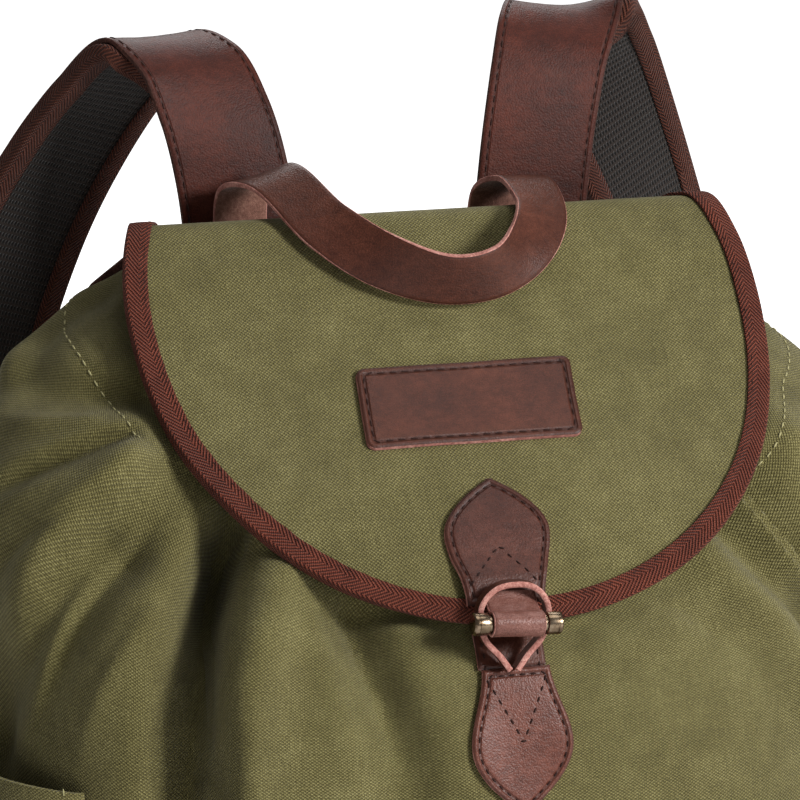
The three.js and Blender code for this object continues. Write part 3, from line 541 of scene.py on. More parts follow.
def sheet_piece(name, outer, inner, finishes, cloth=None, fields=None, crease=40, coarse=1):
    """Closed sheet between two grids of points: face, rim and back each have a finish. The back may
    keep only every few rows and columns."""
    rows, columns = outer.shape[:2]
    count = rows * columns
    inner = inner[::coarse, ::coarse]
    back_rows, back_columns = inner.shape[:2]
    front_rim = rim_of(rows, columns)
    back_rim = rim_of(back_rows, back_columns) + count
    rim_faces = []
    for k in range(len(back_rim)):
        front = [front_rim[(k * coarse + j) % len(front_rim)] for j in range(coarse + 1)]
        rim_faces.append([*front[::-1], back_rim[k], back_rim[(k + 1) % len(back_rim)]])
    front_faces = grid_faces(rows, columns).tolist()
    back_faces = grid_faces(back_rows, back_columns, count, True).tolist()
    slots = np.concatenate([np.zeros(len(front_faces)), np.full(len(back_faces), len(finishes) - 1),
                            np.full(len(rim_faces), min(1, len(finishes) - 1))])
    cloth = metric(outer) if cloth is None else cloth
    cloth = np.concatenate([cloth.reshape(-1, 2), cloth[::coarse, ::coarse].reshape(-1, 2)])
    fields = {key: np.concatenate([np.ravel(value), np.ravel(value[::coarse, ::coarse])])
              for key, value in (fields or {}).items()}
    points = np.concatenate([outer.reshape(-1, 3), inner.reshape(-1, 3)])
    faces = front_faces + back_faces + rim_faces
    return make_mesh(name, points, faces, finishes, slots, cloth, fields, crease)


def swept_piece(name, rings, finishes, slots, cloth, crease=40, fields=None):
    """Closed piece through rings of points. slots gives a finish for each side of the ring, and the
    sides that share a place in the ring share their surface coordinate."""
    stations, sides = rings.shape[:2]
    index = np.arange(stations * sides).reshape(stations, sides)
    following = np.roll(index, -1, axis=1)
    walls = np.stack([index[:-1], following[:-1], following[1:], index[1:]], axis=-1).reshape(-1, 4)
    faces = [tuple(face) for face in walls] + [tuple(index[0, ::-1]), tuple(index[-1])]
    marks = np.concatenate([np.tile(np.asarray(slots), stations - 1), [min(1, len(finishes) - 1)] * 2])
    return make_mesh(name, rings, faces, finishes, marks, cloth, fields, crease)


def finish_piece(piece, slot_name, *nodes):
    """Ties a piece to the frame by its body and hides the solids that it stands for. slot_name is not used.
    """
    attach(piece, "root")
    if nodes:
        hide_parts(*nodes)
    return piece


class Value:
    """A number, colour or vector in a material; arithmetic on numbers adds Math nodes."""

    def __init__(self, finish, socket):
        self.finish = finish
        self.socket = socket

    def math(self, operation, *others):
        node = self.finish.tree.nodes.new("ShaderNodeMath")
        node.operation = operation
        for place, other in enumerate((self, *others)):
            if isinstance(other, Value):
                self.finish.tree.links.new(other.socket, node.inputs[place])
            else:
                node.inputs[place].default_value = other
        return Value(self.finish, node.outputs[0])

    def reflected(self, operation, other):
        node = self.finish.tree.nodes.new("ShaderNodeMath")
        node.operation = operation
        node.inputs[0].default_value = other
        self.finish.tree.links.new(self.socket, node.inputs[1])
        return Value(self.finish, node.outputs[0])

    def __add__(self, other):
        return self.math("ADD", other)

    def __radd__(self, other):
        return self.math("ADD", other)

    def __sub__(self, other):
        return self.math("SUBTRACT", other)

    def __rsub__(self, other):
        return self.reflected("SUBTRACT", other)

    def __mul__(self, other):
        return self.math("MULTIPLY", other)

    def __rmul__(self, other):
        return self.math("MULTIPLY", other)

    def __truediv__(self, other):
        return self.math("DIVIDE", other)

    def __pow__(self, other):
        return self.math("POWER", other)

    def __abs__(self):
        return self.math("ABSOLUTE")

    def sine(self):
        return self.math("SINE")

    def fraction(self):
        return self.math("FRACT")

    def step(self, low, high):
        """0 below low, 1 above high and smooth between."""
        node = self.finish.node("ShaderNodeMapRange", {"interpolation_type": "SMOOTHSTEP"},
                                {"Value": self, "From Min": low, "From Max": high})
        return Value(self.finish, node.outputs[0])


class Finish:
    """A procedural material for one of the bag's finishes."""

    def __init__(self, name, roughness=0.8, metallic=0.0, sheen=0.0, specular=0.5):
        self.material = bpy.data.materials.new(name)
        self.material.use_nodes = True
        self.tree = self.material.node_tree
        self.tree.nodes.clear()
        self.shader = self.tree.nodes.new("ShaderNodeBsdfPrincipled")
        out = self.tree.nodes.new("ShaderNodeOutputMaterial")
        self.tree.links.new(self.shader.outputs[0], out.inputs[0])
        self.shader.inputs["Roughness"].default_value = roughness
        self.shader.inputs["Metallic"].default_value = metallic
        self.shader.inputs["Specular IOR Level"].default_value = specular
        self.shader.inputs["Sheen Weight"].default_value = sheen
        self.shader.inputs["Sheen Roughness"].default_value = 0.5

    def node(self, kind, settings=None, sockets=None):
        made = self.tree.nodes.new(kind)
        for key, setting in (settings or {}).items():
            if key == "stops":
                ramp = made.color_ramp.elements
                while len(ramp) < len(setting):
                    ramp.new(0.5)
                for element, (place, colour) in zip(ramp, setting):
                    element.position = place
                    element.color = (*colour, 1)
            else:
                setattr(made, key, setting)
        for key, value in (sockets or {}).items():
            if isinstance(value, Value):
                self.tree.links.new(value.socket, made.inputs[key])
            else:
                made.inputs[key].default_value = value
        return made

    def cloth(self):
        """Surface coordinates in metres: across, then along."""
        return Value(self, self.node("ShaderNodeUVMap", {"uv_map": "cloth"}).outputs[0])

    def place(self):
        """Place in the piece, in metres."""
        return Value(self, self.node("ShaderNodeTexCoord").outputs["Object"])

    def field(self, name):
        """A number that a piece holds for each of its points."""
        return Value(self, self.node("ShaderNodeAttribute", {"attribute_name": name}).outputs["Fac"])

    def split(self, vector):
        made = self.node("ShaderNodeSeparateXYZ", None, {0: vector})
        return [Value(self, made.outputs[k]) for k in range(3)]

    def scaled(self, vector, scale):
        made = self.node("ShaderNodeVectorMath", {"operation": "MULTIPLY"}, {0: vector, 1: scale})
        return Value(self, made.outputs[0])

    def noise(self, vector, scale, detail=3.0, rough=0.55):
        made = self.node("ShaderNodeTexNoise", None,
                         {"Vector": vector, "Scale": scale, "Detail": detail, "Roughness": rough})
        return Value(self, made.outputs[0])

    def cells(self, vector, scale, feature="F1", smoothness=None):
        settings = {"feature": feature}
        sockets = {"Vector": vector, "Scale": scale}
        if smoothness is not None:
            sockets["Smoothness"] = smoothness
        return Value(self, self.node("ShaderNodeTexVoronoi", settings, sockets).outputs["Distance"])

    def ramp(self, factor, *stops):
        return Value(self, self.node("ShaderNodeValToRGB", {"stops": stops}, {0: factor}).outputs[0])

    def shades(self, factor, *stops):
        """Ramp between colours that are written with the usual 0 to 255 values."""
        return self.ramp(factor, *((place, linear(*colour)) for place, colour in stops))

    def mixed(self, factor, low, high, mode="MIX"):
        low = (*low, 1) if isinstance(low, tuple) else low
        high = (*high, 1) if isinstance(high, tuple) else high
        made = self.node("ShaderNodeMix", {"data_type": "RGBA", "blend_type": mode},
                         {0: factor, 6: low, 7: high})
        return Value(self, made.outputs[2])

    def set(self, socket, value):
        target = self.shader.inputs[socket]
        if isinstance(value, Value):
            self.tree.links.new(value.socket, target)
        else:
            target.default_value = value

    def bump(self, height, distance, strength=1.0):
        made = self.node("ShaderNodeBump", None,
                         {"Height": height, "Distance": distance, "Strength": strength})
        self.tree.links.new(made.outputs[0], self.shader.inputs["Normal"])


def linear(red, green, blue):
    """Colour of a finish from the usual 0 to 255 values."""
    shares = (red / 255, green / 255, blue / 255)
    return tuple(((c + 0.055) / 1.055) ** 2.4 if c > 10 / 255 else c / 12.92 for c in shares)


def canvas_finish():
    """Plain weave with thick yarns: raised spots in offset rows with painted shade between them, uneven yarns
    and a soft fuzz.
    """
    finish = Finish("olive_canvas", roughness=0.92, sheen=0.08, specular=0.2)
    cloth = finish.cloth()
    u, v, _ = finish.split(cloth)
    sway = finish.noise(cloth, 420, 2) - 0.5
    sway_too = finish.noise(finish.scaled(cloth, (1.3, 1.0, 1.0)), 330, 2) - 0.5
    warp_pitch, weft_pitch, wander_by = 0.00092, 0.00084, 0.00055
    warp = ((u + sway * wander_by) * (math.pi / warp_pitch)).sine()
    weft = ((v + sway_too * wander_by) * (math.pi / weft_pitch)).sine()
    spots = (warp * weft).step(-0.45, 0.60)
    slub_along = finish.noise(finish.scaled(cloth, (1250, 60, 1)), 1.0, 2)
    slub_across = finish.noise(finish.scaled(cloth, (60, 1350, 1)), 1.0, 2)
    slub = slub_along * 0.5 + slub_across * 0.5
    place = finish.place()
    clouds = finish.noise(place, 9, 4)
    blotches = finish.noise(place, 70, 4, 0.6)
    fuzz = finish.noise(cloth, 900, 4, 0.7)
    tone = 0.5 + (slub - 0.5) * 0.45 + (clouds - 0.5) * 0.4
    tone = tone + (blotches - 0.5) * 0.35 + (fuzz - 0.5) * 0.9
    base = finish.shades(tone, (0.22, (80, 74, 38)), (0.50, (112, 105, 62)), (0.80, (148, 141, 94)))
    # Painted shade: the colour between the raised yarn spots is darkened, as in the hollows of the weave.
    shaded_gaps = finish.mixed(1.0, base, (0.42, 0.40, 0.34), "MULTIPLY")
    finish.set("Base Color", finish.mixed(spots * 0.9 + 0.1, shaded_gaps, base))
    finish.set("Roughness", 0.84 + clouds * 0.12)
    finish.bump(spots * 1.0 + slub * 0.35 + fuzz * 0.5 + blotches * 0.9, 0.00050, 1.0)
    return finish.material


def leather_finish(name="brown_leather", dark=(42, 19, 13), mid=(68, 35, 24), light=(94, 52, 38),
                   grooved=None, gloss=0.44, specular=0.22):
    """Smooth drum-dyed leather: fine grain, shallow wrinkles, darker pressed lines beside the seams."""
    finish = Finish(name, roughness=gloss, specular=specular)
    place = finish.place()
    pebble = finish.cells(place, 1150, "SMOOTH_F1", 0.6)
    wrinkles = finish.noise(finish.scaled(place, (1.0, 1.0, 1.7)), 210, 5, 0.65)
    clouds = finish.noise(place, 26, 5, 0.6)
    fine = finish.noise(place, 1900, 3, 0.6)
    tone = 0.5 + (clouds - 0.5) * 0.7 + (wrinkles - 0.5) * 0.5 + (fine - 0.5) * 0.8
    base = finish.shades(tone, (0.22, dark), (0.50, mid), (0.80, light))
    worn = finish.noise(place, 55, 4).step(0.56, 0.80) * 0.15
    base = finish.mixed(worn, base, linear(112, 68, 54))
    edge = finish.field("edge")
    rubbed = 1 - edge.step(0.0002, 0.0014)
    base = finish.mixed(rubbed * 0.5, base, linear(38, 19, 15))
    height = (1 - pebble) * 0.7 + wrinkles * 0.4 + fine * 0.4
    if grooved:
        sunk = (edge - grooved) * (edge - grooved)
        groove_square = 0.0000014
        groove = 1 - sunk.step(0.0, groove_square)
        height = height - groove * 1.4
        base = finish.mixed(groove * 0.4, base, linear(36, 18, 14))
    finish.set("Base Color", base)
    finish.set("Roughness", (clouds - 0.5) * 0.2 + (fine - 0.5) * 0.3 + gloss)
    finish.bump(height, 0.00022, 0.9)
    return finish.material


def raw_edge_finish(name, dark, mid, light):
    """Cut edge of leather, its fibres open and in layers."""
    finish = Finish(name, roughness=0.85, specular=0.2)
    place = finish.place()
    fibres = finish.noise(place, 800, 4, 0.75)
    layers = finish.noise(place, 110, 3)
    tone = 0.5 + (fibres - 0.5) * 1.2 + (layers - 0.5) * 0.8
    finish.set("Base Color", finish.shades(tone, (0.2, dark), (0.5, mid), (0.8, light)))
    finish.bump(fibres, 0.0006, 0.8)
    return finish.material


def suede_finish():
    """Flesh side of the leather, with a short nap."""
    finish = Finish("suede_back", roughness=0.95, sheen=0.2, specular=0.12)
    place = finish.place()
    nap = finish.noise(place, 620, 5, 0.8)
    clouds = finish.noise(place, 45, 3)
    tone = 0.5 + (nap - 0.5) * 1.1 + (clouds - 0.5) * 0.8
    shade = finish.shades(tone, (0.2, (84, 54, 45)), (0.5, (126, 88, 75)), (0.8, (166, 124, 109)))
    finish.set("Base Color", shade)
    finish.bump(nap, 0.0008, 0.8)
    return finish.material


def tape_finish(name, width, dark, mid, light):
    """Herringbone twill: the slant of the ribs turns at the middle of each band."""
    finish = Finish(name, roughness=0.9, sheen=0.04, specular=0.12)
    cloth = finish.cloth()
    u, v, _ = finish.split(cloth)
    band = width * MM / 2
    leaf = abs((u / band * 0.5 + 10.0).fraction() - 0.5) * 2 * band
    sway = (finish.noise(cloth, 500, 2) - 0.5) * 0.0007
    rib_pitch, thread_pitch = 0.00235, 0.00115
    ribs = ((v + leaf * 1.35 + sway) * (2 * math.pi / rib_pitch)).sine()
    threads = ((v - leaf * 0.7 + sway) * (2 * math.pi / thread_pitch)).sine()
    fuzz = finish.noise(cloth, 1300, 3, 0.7)
    clouds = finish.noise(cloth, 60, 3)
    tone = 0.5 + ribs * 0.20 + threads * 0.07 + (fuzz - 0.5) * 0.7 + (clouds - 0.5) * 0.4
    finish.set("Base Color", finish.shades(tone, (0.18, dark), (0.5, mid), (0.85, light)))
    finish.bump(ribs * 0.8 + threads * 0.3 + fuzz * 0.5, 0.00055, 1.0)
    return finish.material


def spacer_mesh_finish():
    """Dark knitted mesh with rows of small holes."""
    finish = Finish("spacer_mesh", roughness=0.9, sheen=0.08, specular=0.25)
    cloth = finish.cloth()
    u, v, _ = finish.split(cloth)
    pitch = 0.0034
    knit = (u * (2 * math.pi / pitch)).sine() * (v * (math.pi / pitch)).sine()
    holes = abs(knit).step(0.35, 0.85)
    fuzz = finish.noise(cloth, 1800, 3)
    tone = (1 - holes) * 0.7 + fuzz * 0.3
    finish.set("Base Color", finish.shades(tone, (0.2, (2, 1, 1)), (0.6, (13, 9, 7)), (0.95, (36, 28, 23))))
    finish.bump((1 - holes) * 1.0 + fuzz * 0.25, 0.0009, 1.0)
    return finish.material


def thread_finish(name, dark, light):
    """Twisted sewing thread."""
    finish = Finish(name, roughness=0.85, sheen=0.05, specular=0.15)
    place = finish.place()
    twist = finish.noise(place, 2600, 2)
    finish.set("Base Color", finish.shades(twist, (0.3, dark), (0.7, light)))
    finish.bump(twist, 0.0003, 0.7)
    return finish.material


def bronze_finish():
    """Old bronze, polished by use, with a thin patina."""
    finish = Finish("antique_bronze", roughness=0.22, metallic=1.0)
    place = finish.place()
    patina = finish.noise(place, 210, 4, 0.6)
    specks = finish.noise(place, 900, 3, 0.6)
    tone = 0.5 + (patina - 0.5) * 0.8 + (specks - 0.5) * 0.3
    shade = finish.shades(tone, (0.25, (74, 60, 46)), (0.5, (116, 99, 80)), (0.8, (164, 148, 128)))
    finish.set("Base Color", shade)
    finish.set("Roughness", 0.18 + patina * 0.12)
    finish.bump(specks, 0.00001, 0.25)
    return finish.material


canvas = canvas_finish()
leather = leather_finish()
stitched_leather = leather_finish("stitched_leather", grooved=STITCH_INSET * MM)
strap_leather = leather_finish("strap_leather", (34, 12, 8), (57, 24, 16), (82, 38, 27),
                               grooved=STITCH_INSET * MM, gloss=0.50, specular=0.13)
# The toggle's wrap is a lighter copy of the leather: partly its own lighter colour, partly a painted
# highlight.
wrap_leather = leather_finish("wrap_leather", (66, 38, 31), (106, 68, 59), (142, 105, 96), gloss=0.34)
upper_tab_leather = leather_finish("upper_tab_leather", (40, 18, 12), (66, 34, 25), (92, 53, 42),
                                   grooved=TAB_GROOVE_INSET * MM, gloss=0.42)
# The lower tab is a lighter copy of the flap tab's leather: painted highlight from its gloss.
tab_leather = leather_finish("tab_leather", (52, 25, 18), (84, 45, 34), (114, 67, 54),
                             grooved=TAB_GROOVE_INSET * MM, gloss=0.38)
raw_edge = raw_edge_finish("raw_leather_edge", (112, 66, 58), (158, 106, 96), (196, 148, 136))
dark_edge = raw_edge_finish("dark_leather_edge", (34, 19, 15), (62, 36, 29), (98, 62, 52))
suede = suede_finish()
flap_tape_cloth = tape_finish("flap_tape_twill", TAPE_FACE, (42, 16, 10), (86, 39, 27), (132, 70, 52))
# The straps' tape is a darker copy of the flap's tape: painted shade for the tape that lies under the straps.
shaded_strap_tape_cloth = tape_finish("shaded_strap_tape_twill", STRAP_TAPE_FACE, (32, 13, 8), (66, 32, 22), (104, 58, 42))
spacer_mesh = spacer_mesh_finish()
khaki_thread = thread_finish("khaki_thread", (120, 116, 78), (166, 160, 116))
pale_thread = thread_finish("pale_thread", (128, 122, 84), (164, 157, 116))
brown_thread = thread_finish("brown_thread", (26, 13, 10), (50, 27, 21))
bronze = bronze_finish()


def stitch_tree():
    """Stitches set at an even pitch along lines that lie on a surface."""
    tree = bpy.data.node_groups.new("stitch_rows", "GeometryNodeTree")
    face = tree.interface
    face.new_socket(name="Lines", in_out="INPUT", socket_type="NodeSocketGeometry")
    kinds = {"Pitch": "Float", "Stitch Length": "Float", "Thread Radius": "Float", "Wobble": "Float",
             "Thread": "Material"}
    sizes = {name: face.new_socket(name=name, in_out="INPUT", socket_type="NodeSocket" + kind).identifier
             for name, kind in kinds.items()}
    face.new_socket(name="Stitches", in_out="OUTPUT", socket_type="NodeSocketGeometry")

    def node(kind, settings=None, sockets=None):
        made = tree.nodes.new(kind)
        for key, setting in (settings or {}).items():
            setattr(made, key, setting)
        for key, value in (sockets or {}).items():
            if isinstance(value, bpy.types.NodeSocket):
                tree.links.new(value, made.inputs[key])
            else:
                made.inputs[key].default_value = value
        return made

    given = node("NodeGroupInput")
    lines = node("GeometryNodeMeshToCurve", None, {0: given.outputs["Lines"]})
    spaced = node("GeometryNodeResampleCurve", None, {"Curve": lines.outputs[0]})
    if "Mode" in spaced.inputs:
        spaced.inputs["Mode"].default_value = "Length"
    else:
        spaced.mode = "LENGTH"
    tree.links.new(given.outputs["Pitch"], spaced.inputs["Length"])
    tangent = node("GeometryNodeInputTangent")
    outward = node("GeometryNodeInputNamedAttribute", {"data_type": "FLOAT_VECTOR"}, {"Name": "outward"})
    ahead = node("FunctionNodeAlignRotationToVector", {"axis": "X"}, {"Vector": tangent.outputs[0]})
    lying = node("FunctionNodeAlignRotationToVector", {"axis": "Z", "pivot_axis": "X"},
                 {"Rotation": ahead.outputs[0], "Vector": outward.outputs[0]})
    lean = node("FunctionNodeRandomValue", {"data_type": "FLOAT"}, {"Seed": 7})
    low = node("ShaderNodeMath", {"operation": "MULTIPLY"}, {0: given.outputs["Wobble"], 1: -1.0})
    tree.links.new(low.outputs[0], lean.inputs[2])
    tree.links.new(given.outputs["Wobble"], lean.inputs[3])
    turn = node("FunctionNodeAxisAngleToRotation", None, {"Axis": (0, 0, 1), "Angle": lean.outputs[1]})
    aimed = node("FunctionNodeRotateRotation", {"rotation_space": "LOCAL"},
                 {0: lying.outputs[0], 1: turn.outputs[0]})
    bead = node("GeometryNodeMeshUVSphere", None, {"Segments": 8, "Rings": 5, "Radius": 1.0})
    half = node("ShaderNodeMath", {"operation": "MULTIPLY"}, {0: given.outputs["Stitch Length"], 1: 0.5})
    size = node("ShaderNodeCombineXYZ", None, {0: half.outputs[0], 1: given.outputs["Thread Radius"],
                                               2: given.outputs["Thread Radius"]})
    stitches = node("GeometryNodeInstanceOnPoints", None, {
        "Points": spaced.outputs[0], "Instance": bead.outputs[0], "Rotation": aimed.outputs[0],
        "Scale": size.outputs[0]})
    real = node("GeometryNodeRealizeInstances", None, {0: stitches.outputs[0]})
    round_ones = node("GeometryNodeSetShadeSmooth", None, {0: real.outputs[0]})
    threaded = node("GeometryNodeSetMaterial", None,
                    {"Geometry": round_ones.outputs[0], "Material": given.outputs["Thread"]})
    node("NodeGroupOutput", None, {0: threaded.outputs[0]})
    return tree, sizes


stitch_group, stitch_sizes = stitch_tree()


def stitch_rows(name, rows, thread, slot_name, pitch=5.1, length=3.7, radius=0.42):
    """Stitches along lines on a surface; rows holds each line's points and outward directions."""
    points = np.concatenate([line for line, _ in rows]) * MM
    outward = np.concatenate([normal for _, normal in rows])
    edges = []
    start = 0
    for line, _ in rows:
        edges += [(start + k, start + k + 1) for k in range(len(line) - 1)]
        start += len(line)
    guide_mesh = bpy.data.meshes.new(name + "_line")
    guide_mesh.from_pydata(points.tolist(), edges, [])
    made = guide_mesh.attributes.new("outward", "FLOAT_VECTOR", "POINT")
    made.data.foreach_set("vector", outward.astype(np.float32).ravel())
    guide = bpy.data.objects.new(name + "_line", guide_mesh)
    bpy.context.collection.objects.link(guide)
    sewing = guide.modifiers.new("sewing", "NODES")
    sewing.node_group = stitch_group
    sizes = {"Pitch": pitch * MM, "Stitch Length": length * MM, "Thread Radius": radius * MM,
             "Wobble": STITCH_WOBBLE, "Thread": thread}
    for key, value in sizes.items():
        sewing[stitch_sizes[key]] = value
    guide.update_tag()
    view = bpy.context.evaluated_depsgraph_get()
    mesh = bpy.data.meshes.new_from_object(guide.evaluated_get(view))
    guide.modifiers.remove(sewing)
    bpy.data.objects.remove(guide)
    piece = bpy.data.objects.new(name, mesh)
    bpy.context.collection.objects.link(piece)
    return finish_piece(piece, slot_name)


def spread_line(line, step=1.0):
    """The same line with points an even step apart."""
    line = np.asarray(line, float)
    far = run_along(line)
    count = max(2, int(round(far[-1] / step)) + 1)
    at = np.linspace(0, far[-1], count)
    return np.stack([np.interp(at, far, line[:, k]) for k in range(line.shape[1])], axis=-1)


def inset_line(line, inset, closed=False):
    """A line in a plane moved inwards, to its left, by an inset."""
    line = spread_line(line, 0.5)
    if closed:
        ahead, behind = np.roll(line, -6, axis=0), np.roll(line, 6, axis=0)
    else:
        index = np.arange(len(line))
        ahead, behind = line[np.minimum(index + 6, len(line) - 1)], line[np.maximum(index - 6, 0)]
    run = unit(ahead - behind)
    moved = line + np.stack([-run[:, 1], run[:, 0]], axis=-1) * inset
    apart = np.array([np.min(np.hypot(*(line - point).T)) for point in moved])
    return moved[apart > inset * 0.93]


def lay(flat, place, lift):
    """A flat line laid on a surface, with its outward directions."""
    points = place(flat[:, 0], flat[:, 1], lift)
    above = place(flat[:, 0], flat[:, 1], lift + 1.0)
    return points, unit(above - points)


def patch_piece(name, length, half_at, place, lift, thickness, finishes, rows, columns):
    """Leather patch on a surface. place takes x and the distance down the patch, in millimetres."""
    share = (1 - np.cos(np.pi * np.linspace(0, 1, rows + 1))) / 2
    half = half_at(share)
    s = np.linspace(-1, 1, columns + 1)
    s = np.sin(s * np.pi / 2) * 0.35 + s * 0.65
    x = half[:, None] * s[None, :]
    down = np.broadcast_to((share * length)[:, None], x.shape)
    right = np.stack([half, share * length], axis=-1)
    left = np.stack([-half, share * length], axis=-1)
    outline = spread_line(np.concatenate([right, left[::-1], right[:1]]), 0.4)
    flat = np.stack([x, down], axis=-1).reshape(-1, 2)
    edge = np.array([np.min(np.hypot(*(outline - point).T)) for point in flat]).reshape(x.shape)
    pressed = 0.55 * (1 - smooth(edge / 1.1)) + 0.28 * np.exp(-(((edge - 3.0) / 0.9) ** 2))
    outer = place(x, down, lift + thickness - pressed)
    inner = place(x, down, lift)
    cloth = np.stack([x, down], axis=-1)
    piece = sheet_piece(name, outer, inner, finishes, cloth, {"edge": edge * MM}, crease=50)
    return piece, outline


# The columns lie closer together over the front, where the pleats are.
SACK_COLUMNS = 417
SACK_ROWS = 213
column = np.linspace(-1, 1, SACK_COLUMNS)[None, :]
around = column + 0.11 * np.sin(np.pi * column) / np.pi * -1
up = np.linspace(0, 1, SACK_ROWS)[:, None]
around, up = np.broadcast_arrays(around, up)
sack_face = sack(around, up, 0.0, True)
sack_back = sack(around, up, -CANVAS, True)
sack_back[0, :, 2] = 0
finish_piece(sheet_piece("sack", sack_face, sack_back, [canvas], coarse=4), "canvas",
             "sack_front", "sack_front_top", "sack_side_left", "sack_side_left_top",
             "sack_side_right", "sack_side_right_top")


def sack_line(around, up):
    """A line on the sack's face, with its outward directions."""
    points = sack(around, up, 0.2, True)
    return points, unit(sack(around, up, 1.2, True) - points)


# The casing's stitches show on both sides of the flap and go under its tape.
casing_spans = (np.linspace(-0.90, -0.445, 160), np.linspace(0.20, 0.90, 240))
casing_rows = [sack_line(span, casing_up(span) - 0.006) for span in casing_spans]
stitch_rows("casing_stitches", casing_rows, pale_thread, "canvas", pitch=5.4, length=3.6, radius=0.5)


BOARD_SIDES = 161
BOARD_RIM = ((1.0, 0.0), (0.2, 0.4), (0.0, 1.2), (0.0, 2.2), (0.5, 3.0))


def base_board():
    """Flat board in the foot of the sack, covered in canvas, with a softened edge."""
    share = np.linspace(-1, 1, BOARD_SIDES)
    outline = plain_sack(share, np.zeros(BOARD_SIDES))
    outward = outward_of(plain_sack, share, np.zeros(BOARD_SIDES))
    outward[:, 2] = 0
    outline = outline - unit(outward) * (CANVAS + GAP)
    centre = outline.mean(axis=0)
    centre[2] = 0
    rings = []
    for inset, z in BOARD_RIM:
        ring = outline - unit(outline - centre) * inset
        ring[:, 2] = z
        rings.append(ring)
    rings = np.array(rings)
    cloth = rings[..., :2]
    return swept_piece("base_board", rings, [canvas], [0] * BOARD_SIDES, cloth)


finish_piece(base_board(), "canvas", "base_panel")


BACK_TOP = BODY_HEIGHT * 0.945


def back_half(z, overlap):
    """Half the back panel's width at a height, where it overlaps the sack."""
    share = np.linspace(0, 0.9, 15)[1:]
    heights = along(SECTIONS, "back", share) * BODY_HEIGHT
    halves = along(SECTIONS, "rear", share) * HALF_WIDTH + overlap
    kept = heights < BACK_TOP
    heights, halves = heights[kept], halves[kept]
    return np.interp(z, [0, *heights, BACK_TOP], [halves[0] - overlap, *halves, halves[-1] * 0.86])


def upright_panel(name, heights, half_at, near_y, thickness, finishes, columns, soft):
    """Panel on the back of the bag, its face turned backwards and its edges rounded by soft."""
    s = np.linspace(-1, 1, columns + 1)[None, :]
    half = half_at(heights)[:, None]
    x = half * s
    z = np.broadcast_to(heights[:, None], x.shape)
    low, high = heights[0], heights[-1]
    edge = np.minimum(np.minimum(half - np.abs(x), z - low), high - z)
    rounded = soft * (1 - smooth(edge / (soft * 2.2)))
    outer = vectors(x, near_y + thickness - rounded, z)
    inner = vectors(x, near_y, z)
    cloth = np.stack([x, z], axis=-1)
    return sheet_piece(name, outer, inner, finishes, cloth, {"edge": np.maximum(edge, 0) * MM})


BACK_OVERLAP = 4
back_heights = np.linspace(0, BACK_TOP, 60)
finish_piece(upright_panel("back_canvas", back_heights, lambda z: back_half(z, BACK_OVERLAP), BACK_Y,
                           BACK_PANEL, [canvas], 60, 1.6), "canvas", "back_panel")

yoke_top = BODY_HEIGHT * 0.978
yoke_low = yoke_top - YOKE_HEIGHT
yoke_corner = YOKE_HEIGHT * 0.2
yoke_wide = HALF_WIDTH * 0.655
yoke_knots = [yoke_low, yoke_top - yoke_corner * 1.7, yoke_top - yoke_corner, yoke_top]
yoke_halves = [yoke_wide * 1.03, yoke_wide * 1.05, yoke_wide, yoke_wide * 0.88]


def yoke_half(z):
    """Half the yoke's width at a height, less at its cut corners."""
    return np.interp(z, yoke_knots, yoke_halves)


yoke_heights = np.linspace(yoke_low, yoke_top, 40)
finish_piece(upright_panel("shoulder_yoke", yoke_heights, yoke_half, YOKE_SEAT_Y, LEATHER,
                           [stitched_leather, dark_edge], 120, 0.4), "leather", "back_yoke")


def back_line(x, z, y):
    """A line on the back of the bag, which faces backwards."""
    points = vectors(x, y, z)
    return points, np.broadcast_to(np.array([0, 1.0, 0]), points.shape)


BACK_SEAM_INSET = 7
side_heights = np.linspace(8, BODY_HEIGHT * 0.92, 120)
side_half = back_half(side_heights, BACK_OVERLAP) - BACK_SEAM_INSET
back_rows = [back_line(hand * side_half, side_heights, BACK_Y + BACK_PANEL + 0.1) for hand in (-1, 1)]
stitch_rows("back_stitches", back_rows, khaki_thread, "canvas")

YOKE_SEAM_INSET = 3.2
yoke_face = YOKE_SEAT_Y + LEATHER
yoke_seam_low, yoke_seam_top = yoke_low + YOKE_SEAM_INSET, yoke_top - YOKE_SEAM_INSET
yoke_line_z = np.linspace(yoke_seam_low, yoke_seam_top, 40)
yoke_rows = [back_line(hand * (yoke_half(yoke_line_z) - YOKE_SEAM_INSET), yoke_line_z, yoke_face)
             for hand in (-1, 1)]
yoke_rows += [back_line(np.linspace(-1, 1, 60) * (yoke_half(z) - 4), z, yoke_face)
              for z in (yoke_seam_low, yoke_seam_top)]
stitch_rows("yoke_stitches", yoke_rows, brown_thread, "leather")


def flap_shares(rows, tip_angle):
    """Shares of the flap's length, closer together towards its round tip."""
    straight = int(rows * 0.5)
    first = np.arange(straight) / straight * FLAP_WIDE_SHARE
    angle = np.radians(tip_angle) * np.arange(rows - straight + 1) / (rows - straight)
    last = FLAP_WIDE_SHARE + (1 - FLAP_WIDE_SHARE) * np.sin(angle) ** (2 / FLAP_ROUND_POWER)
    return np.concatenate([first, last])


edge_share = flap_shares(190, 88)
flap_slope = (flap_half(edge_share + 0.001) - flap_half(edge_share - 0.001)) / (0.002 * FLAP_RUN)
flap_inset = TAPE_WALL + 0.5
inset_half = flap_half(edge_share) - flap_inset / np.hypot(1, flap_slope)
inset_share = edge_share + flap_inset * np.minimum(flap_slope, 0) / np.hypot(1, flap_slope) / FLAP_RUN
flap_x = FLAP_SHIFT + inset_half[:, None] * np.linspace(-1, 1, 161)[None, :]
flap_s = np.broadcast_to(inset_share[:, None], flap_x.shape)
flap_face = flap_at(flap_x, flap_s)
flap_back = flap_at(flap_x, flap_s, -FLAP_CANVAS)
flap_cloth = np.stack([flap_x, flap_s * FLAP_RUN], axis=-1)
finish_piece(sheet_piece("flap_canvas", flap_face, flap_back, [canvas], flap_cloth), "canvas", "flap")

